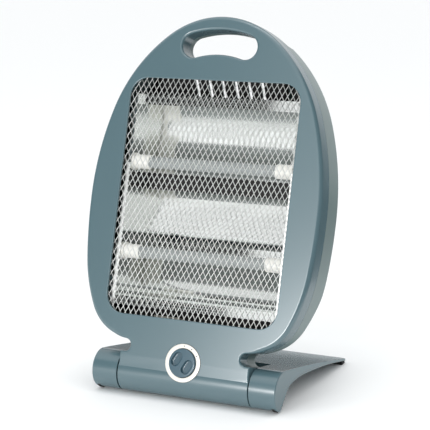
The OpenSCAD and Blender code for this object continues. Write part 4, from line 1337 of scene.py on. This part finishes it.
def foot():
    """Plate and end barrels in one moulding, ribbed below, with the hinge's gap in front."""
    outline = foot_outline()
    rings = [(FOOT_HALF - inward, short) for inward, short in rolled(FOOT_EDGE, 4)]
    rings += flipped(rings)
    body = loft("foot_plate", [[(x, y, z) for y, z in inset_outline(outline, inset)]
                               for x, inset in rings])
    plan = prism("plan", foot_plan(), -ROUGH, ROUGH)
    combine(body, [plan], "INTERSECT")
    gap = slab_outline(END_INNER, -BARREL_R - 20, PLATE_FRONT, GAP_CORNER, 6)
    bays = [(RIB_PITCH * i + FOOT_WALL / 2, RIB_PITCH * (i + 1) - FOOT_WALL / 2)
            for i in range(BAYS)]
    bays.append((END_INNER + FOOT_WALL, FOOT_HALF - FOOT_WALL))
    halves = [foot_pocket(*bay) for bay in bays] + [cover_seam()]
    halves.append(axle(PIN_R, END_INNER - 1, END_INNER + FOOT_WALL + PIN_ROOT + 1))
    halves += [mirrored(half) for half in halves]
    cut(body, prism("gap", gap, -ROUGH, ROUGH), *halves, *all_pads())
    return settle(body, "foot", FOOT_ABS, ["foot"], FOOT_PLACE)


# ---- Pieces ---------------------------------------------------------------------

front_moulding()
rear_moulding()
grille()
reflector()
cheek_edges()
coil("upper_coil", TUBE_V[0])
coil("lower_coil", TUBE_V[1])
ceramics()
dial_ring()
knob()
foot()
rubber_pads()

# CAD nodes whose shape is right keep it and get a finish
CAD_FINISHES = (
    (ZINC, ("hinge_pins", "disc_springs", "lock_nuts", "grille_screws", "cheek_screws",
            "case_screws", "tube_terminals", "tube_clips", "switch_nut", "switch_shaft")),
    (CHEEK_METAL, ("left_cheek", "right_cheek")),
    (QUARTZ, ("upper_tube", "lower_tube")),
    (NATURAL_PA, ("hinge_bushes", "terminal_block")),
    (BLACK_PA, ("selector_switch", "thermal_cutout", "tip_over_switch", "cord_gland")),
)
for finish, nodes in CAD_FINISHES:
    for node in nodes:
        mesh = frame["nodes"][node].data
        mesh.materials.clear()
        mesh.materials.append(finish)

# ---- Floor, light and camera ----------------------------------------------------


FLOOR_HALF = 9.0
LIGHT_AIM = (0, -0.02, 0.2)
ROOM_COLOUR, ROOM_STRENGTH = "fdfeff", 1.05


def lying(x0, y0, x1, y1, z):
    """Corners of a sheet that lies at one height."""
    return [(x0, y0, z), (x1, y0, z), (x1, y1, z), (x0, y1, z)]


def upright(x0, y0, x1, y1, span, far_span):
    """Corners of a standing card from its near edge to its far one."""
    return [(x0, y0, span[0]), (x1, y1, far_span[0]), (x1, y1, far_span[1]), (x0, y0, span[1])]


# Name, place, width and height, and power in watts of each light
LIGHTS = (
    ("front", (-0.385, -2.1, 0.34), (0.44, 0.5), 18.5),
    ("top", (0.1, -0.1, 2.4), (2.0, 0.3), 10),
)

# Black cards for the heater's gloss to mirror: standing at the left, in front and at the
# right, then lying at the right and behind, and one low strip far back
CARD_LIFT = 0.001
CARDS = (
    ("flag_left", upright(-0.64, -1.55, -1.18, 0.2, (0.28, 1.7), (0.1, 0.6))),
    ("flag_front", upright(-0.06, -1.6, 0.75, -0.75, (0, 0.55), (0, 0.55))),
    ("flag_right", upright(0.5, -0.75, 0.5, 1.1, (0, 0.9), (0, 0.9))),
    ("flag_side", lying(0.3, 0.1, 1.2, 1.5, CARD_LIFT)),
    ("flag_back", lying(-0.62, 0.2, 0.08, 1.0, CARD_LIFT)),
    ("flag_far", upright(-0.85, 1.0, 0.1, 1.1, (0, 0.1), (0, 0.1))),
)


def floor():
    """A plain pale studio floor that fills the view."""
    mesh = bpy.data.meshes.new("studio_floor")
    mesh.from_pydata(lying(-FLOOR_HALF, -FLOOR_HALF, FLOOR_HALF, FLOOR_HALF, 0),
                     [], [(0, 1, 2, 3)])
    plane = bpy.data.objects.new("studio_floor", mesh)
    bpy.context.scene.collection.objects.link(plane)
    finish, tree, _ = new_finish("paper_white")
    shader = add(tree, "ShaderNodeBsdfPrincipled", {
        "Base Color": colour("f7f8f8"), "Roughness": 0.9})
    close_finish(tree, shader)
    mesh.materials.append(finish)


def softbox(name, place, size, power):
    """A large soft area light that points at the heater."""
    lamp = bpy.data.lights.new(name, "AREA")
    lamp.shape = "RECTANGLE"
    lamp.size, lamp.size_y = size
    lamp.energy = power
    light = bpy.data.objects.new(name, lamp)
    light.location = place
    aim = Vector(LIGHT_AIM) - Vector(place)
    light.rotation_euler = aim.to_track_quat("-Z", "Y").to_euler()
    bpy.context.scene.collection.objects.link(light)


def felt():
    """Black felt: no gloss and hardly any light."""
    finish, tree, _ = new_finish("felt_black")
    close_finish(tree, add(tree, "ShaderNodeBsdfPrincipled", {
        "Base Color": colour("161718"), "Roughness": 0.95}))
    return finish


def flag(name, corners, finish):
    """A black studio card that only gloss sees: it shapes the reflections."""
    mesh = bpy.data.meshes.new(name)
    mesh.from_pydata(corners, [], [(0, 1, 2, 3)])
    mesh.materials.append(finish)
    card = bpy.data.objects.new(name, mesh)
    card.visible_camera = False
    card.visible_diffuse = False
    card.visible_shadow = False
    bpy.context.scene.collection.objects.link(card)


def studio():
    """A pale room with its lights and cards."""
    world = bpy.data.worlds.new("studio")
    world.use_nodes = True
    sky = world.node_tree.nodes["Background"]
    sky.inputs["Color"].default_value = colour(ROOM_COLOUR)
    sky.inputs["Strength"].default_value = ROOM_STRENGTH
    bpy.context.scene.world = world
    for light in LIGHTS:
        softbox(*light)
    black = felt()
    for name, corners in CARDS:
        flag(name, corners, black)


# Where the photograph was taken from, in metres, degrees and millimetres
CAMERA_TARGET = (0.02855, -0.083409, 0.19217)
CAMERA_DISTANCE = 1.4425
CAMERA_AZIMUTH = 25.02
CAMERA_ELEVATION = 10.93
CAMERA_LENS = 122.65


def camera():
    """The photograph's view."""
    lens = bpy.data.cameras.new("camera")
    lens.lens = CAMERA_LENS
    lens.sensor_width = 36
    lens.clip_end = 50
    az, el = rad(CAMERA_AZIMUTH), rad(CAMERA_ELEVATION)
    back = Vector((math.sin(az) * math.cos(el), -math.cos(az) * math.cos(el), math.sin(el)))
    view = bpy.data.objects.new("camera", lens)
    view.location = Vector(CAMERA_TARGET) + back * CAMERA_DISTANCE
    view.rotation_euler = (-back).to_track_quat("-Z", "Y").to_euler()
    bpy.context.scene.collection.objects.link(view)
    bpy.context.scene.camera = view


floor()
studio()
camera()
bpy.context.scene.view_settings.view_transform = "Standard"
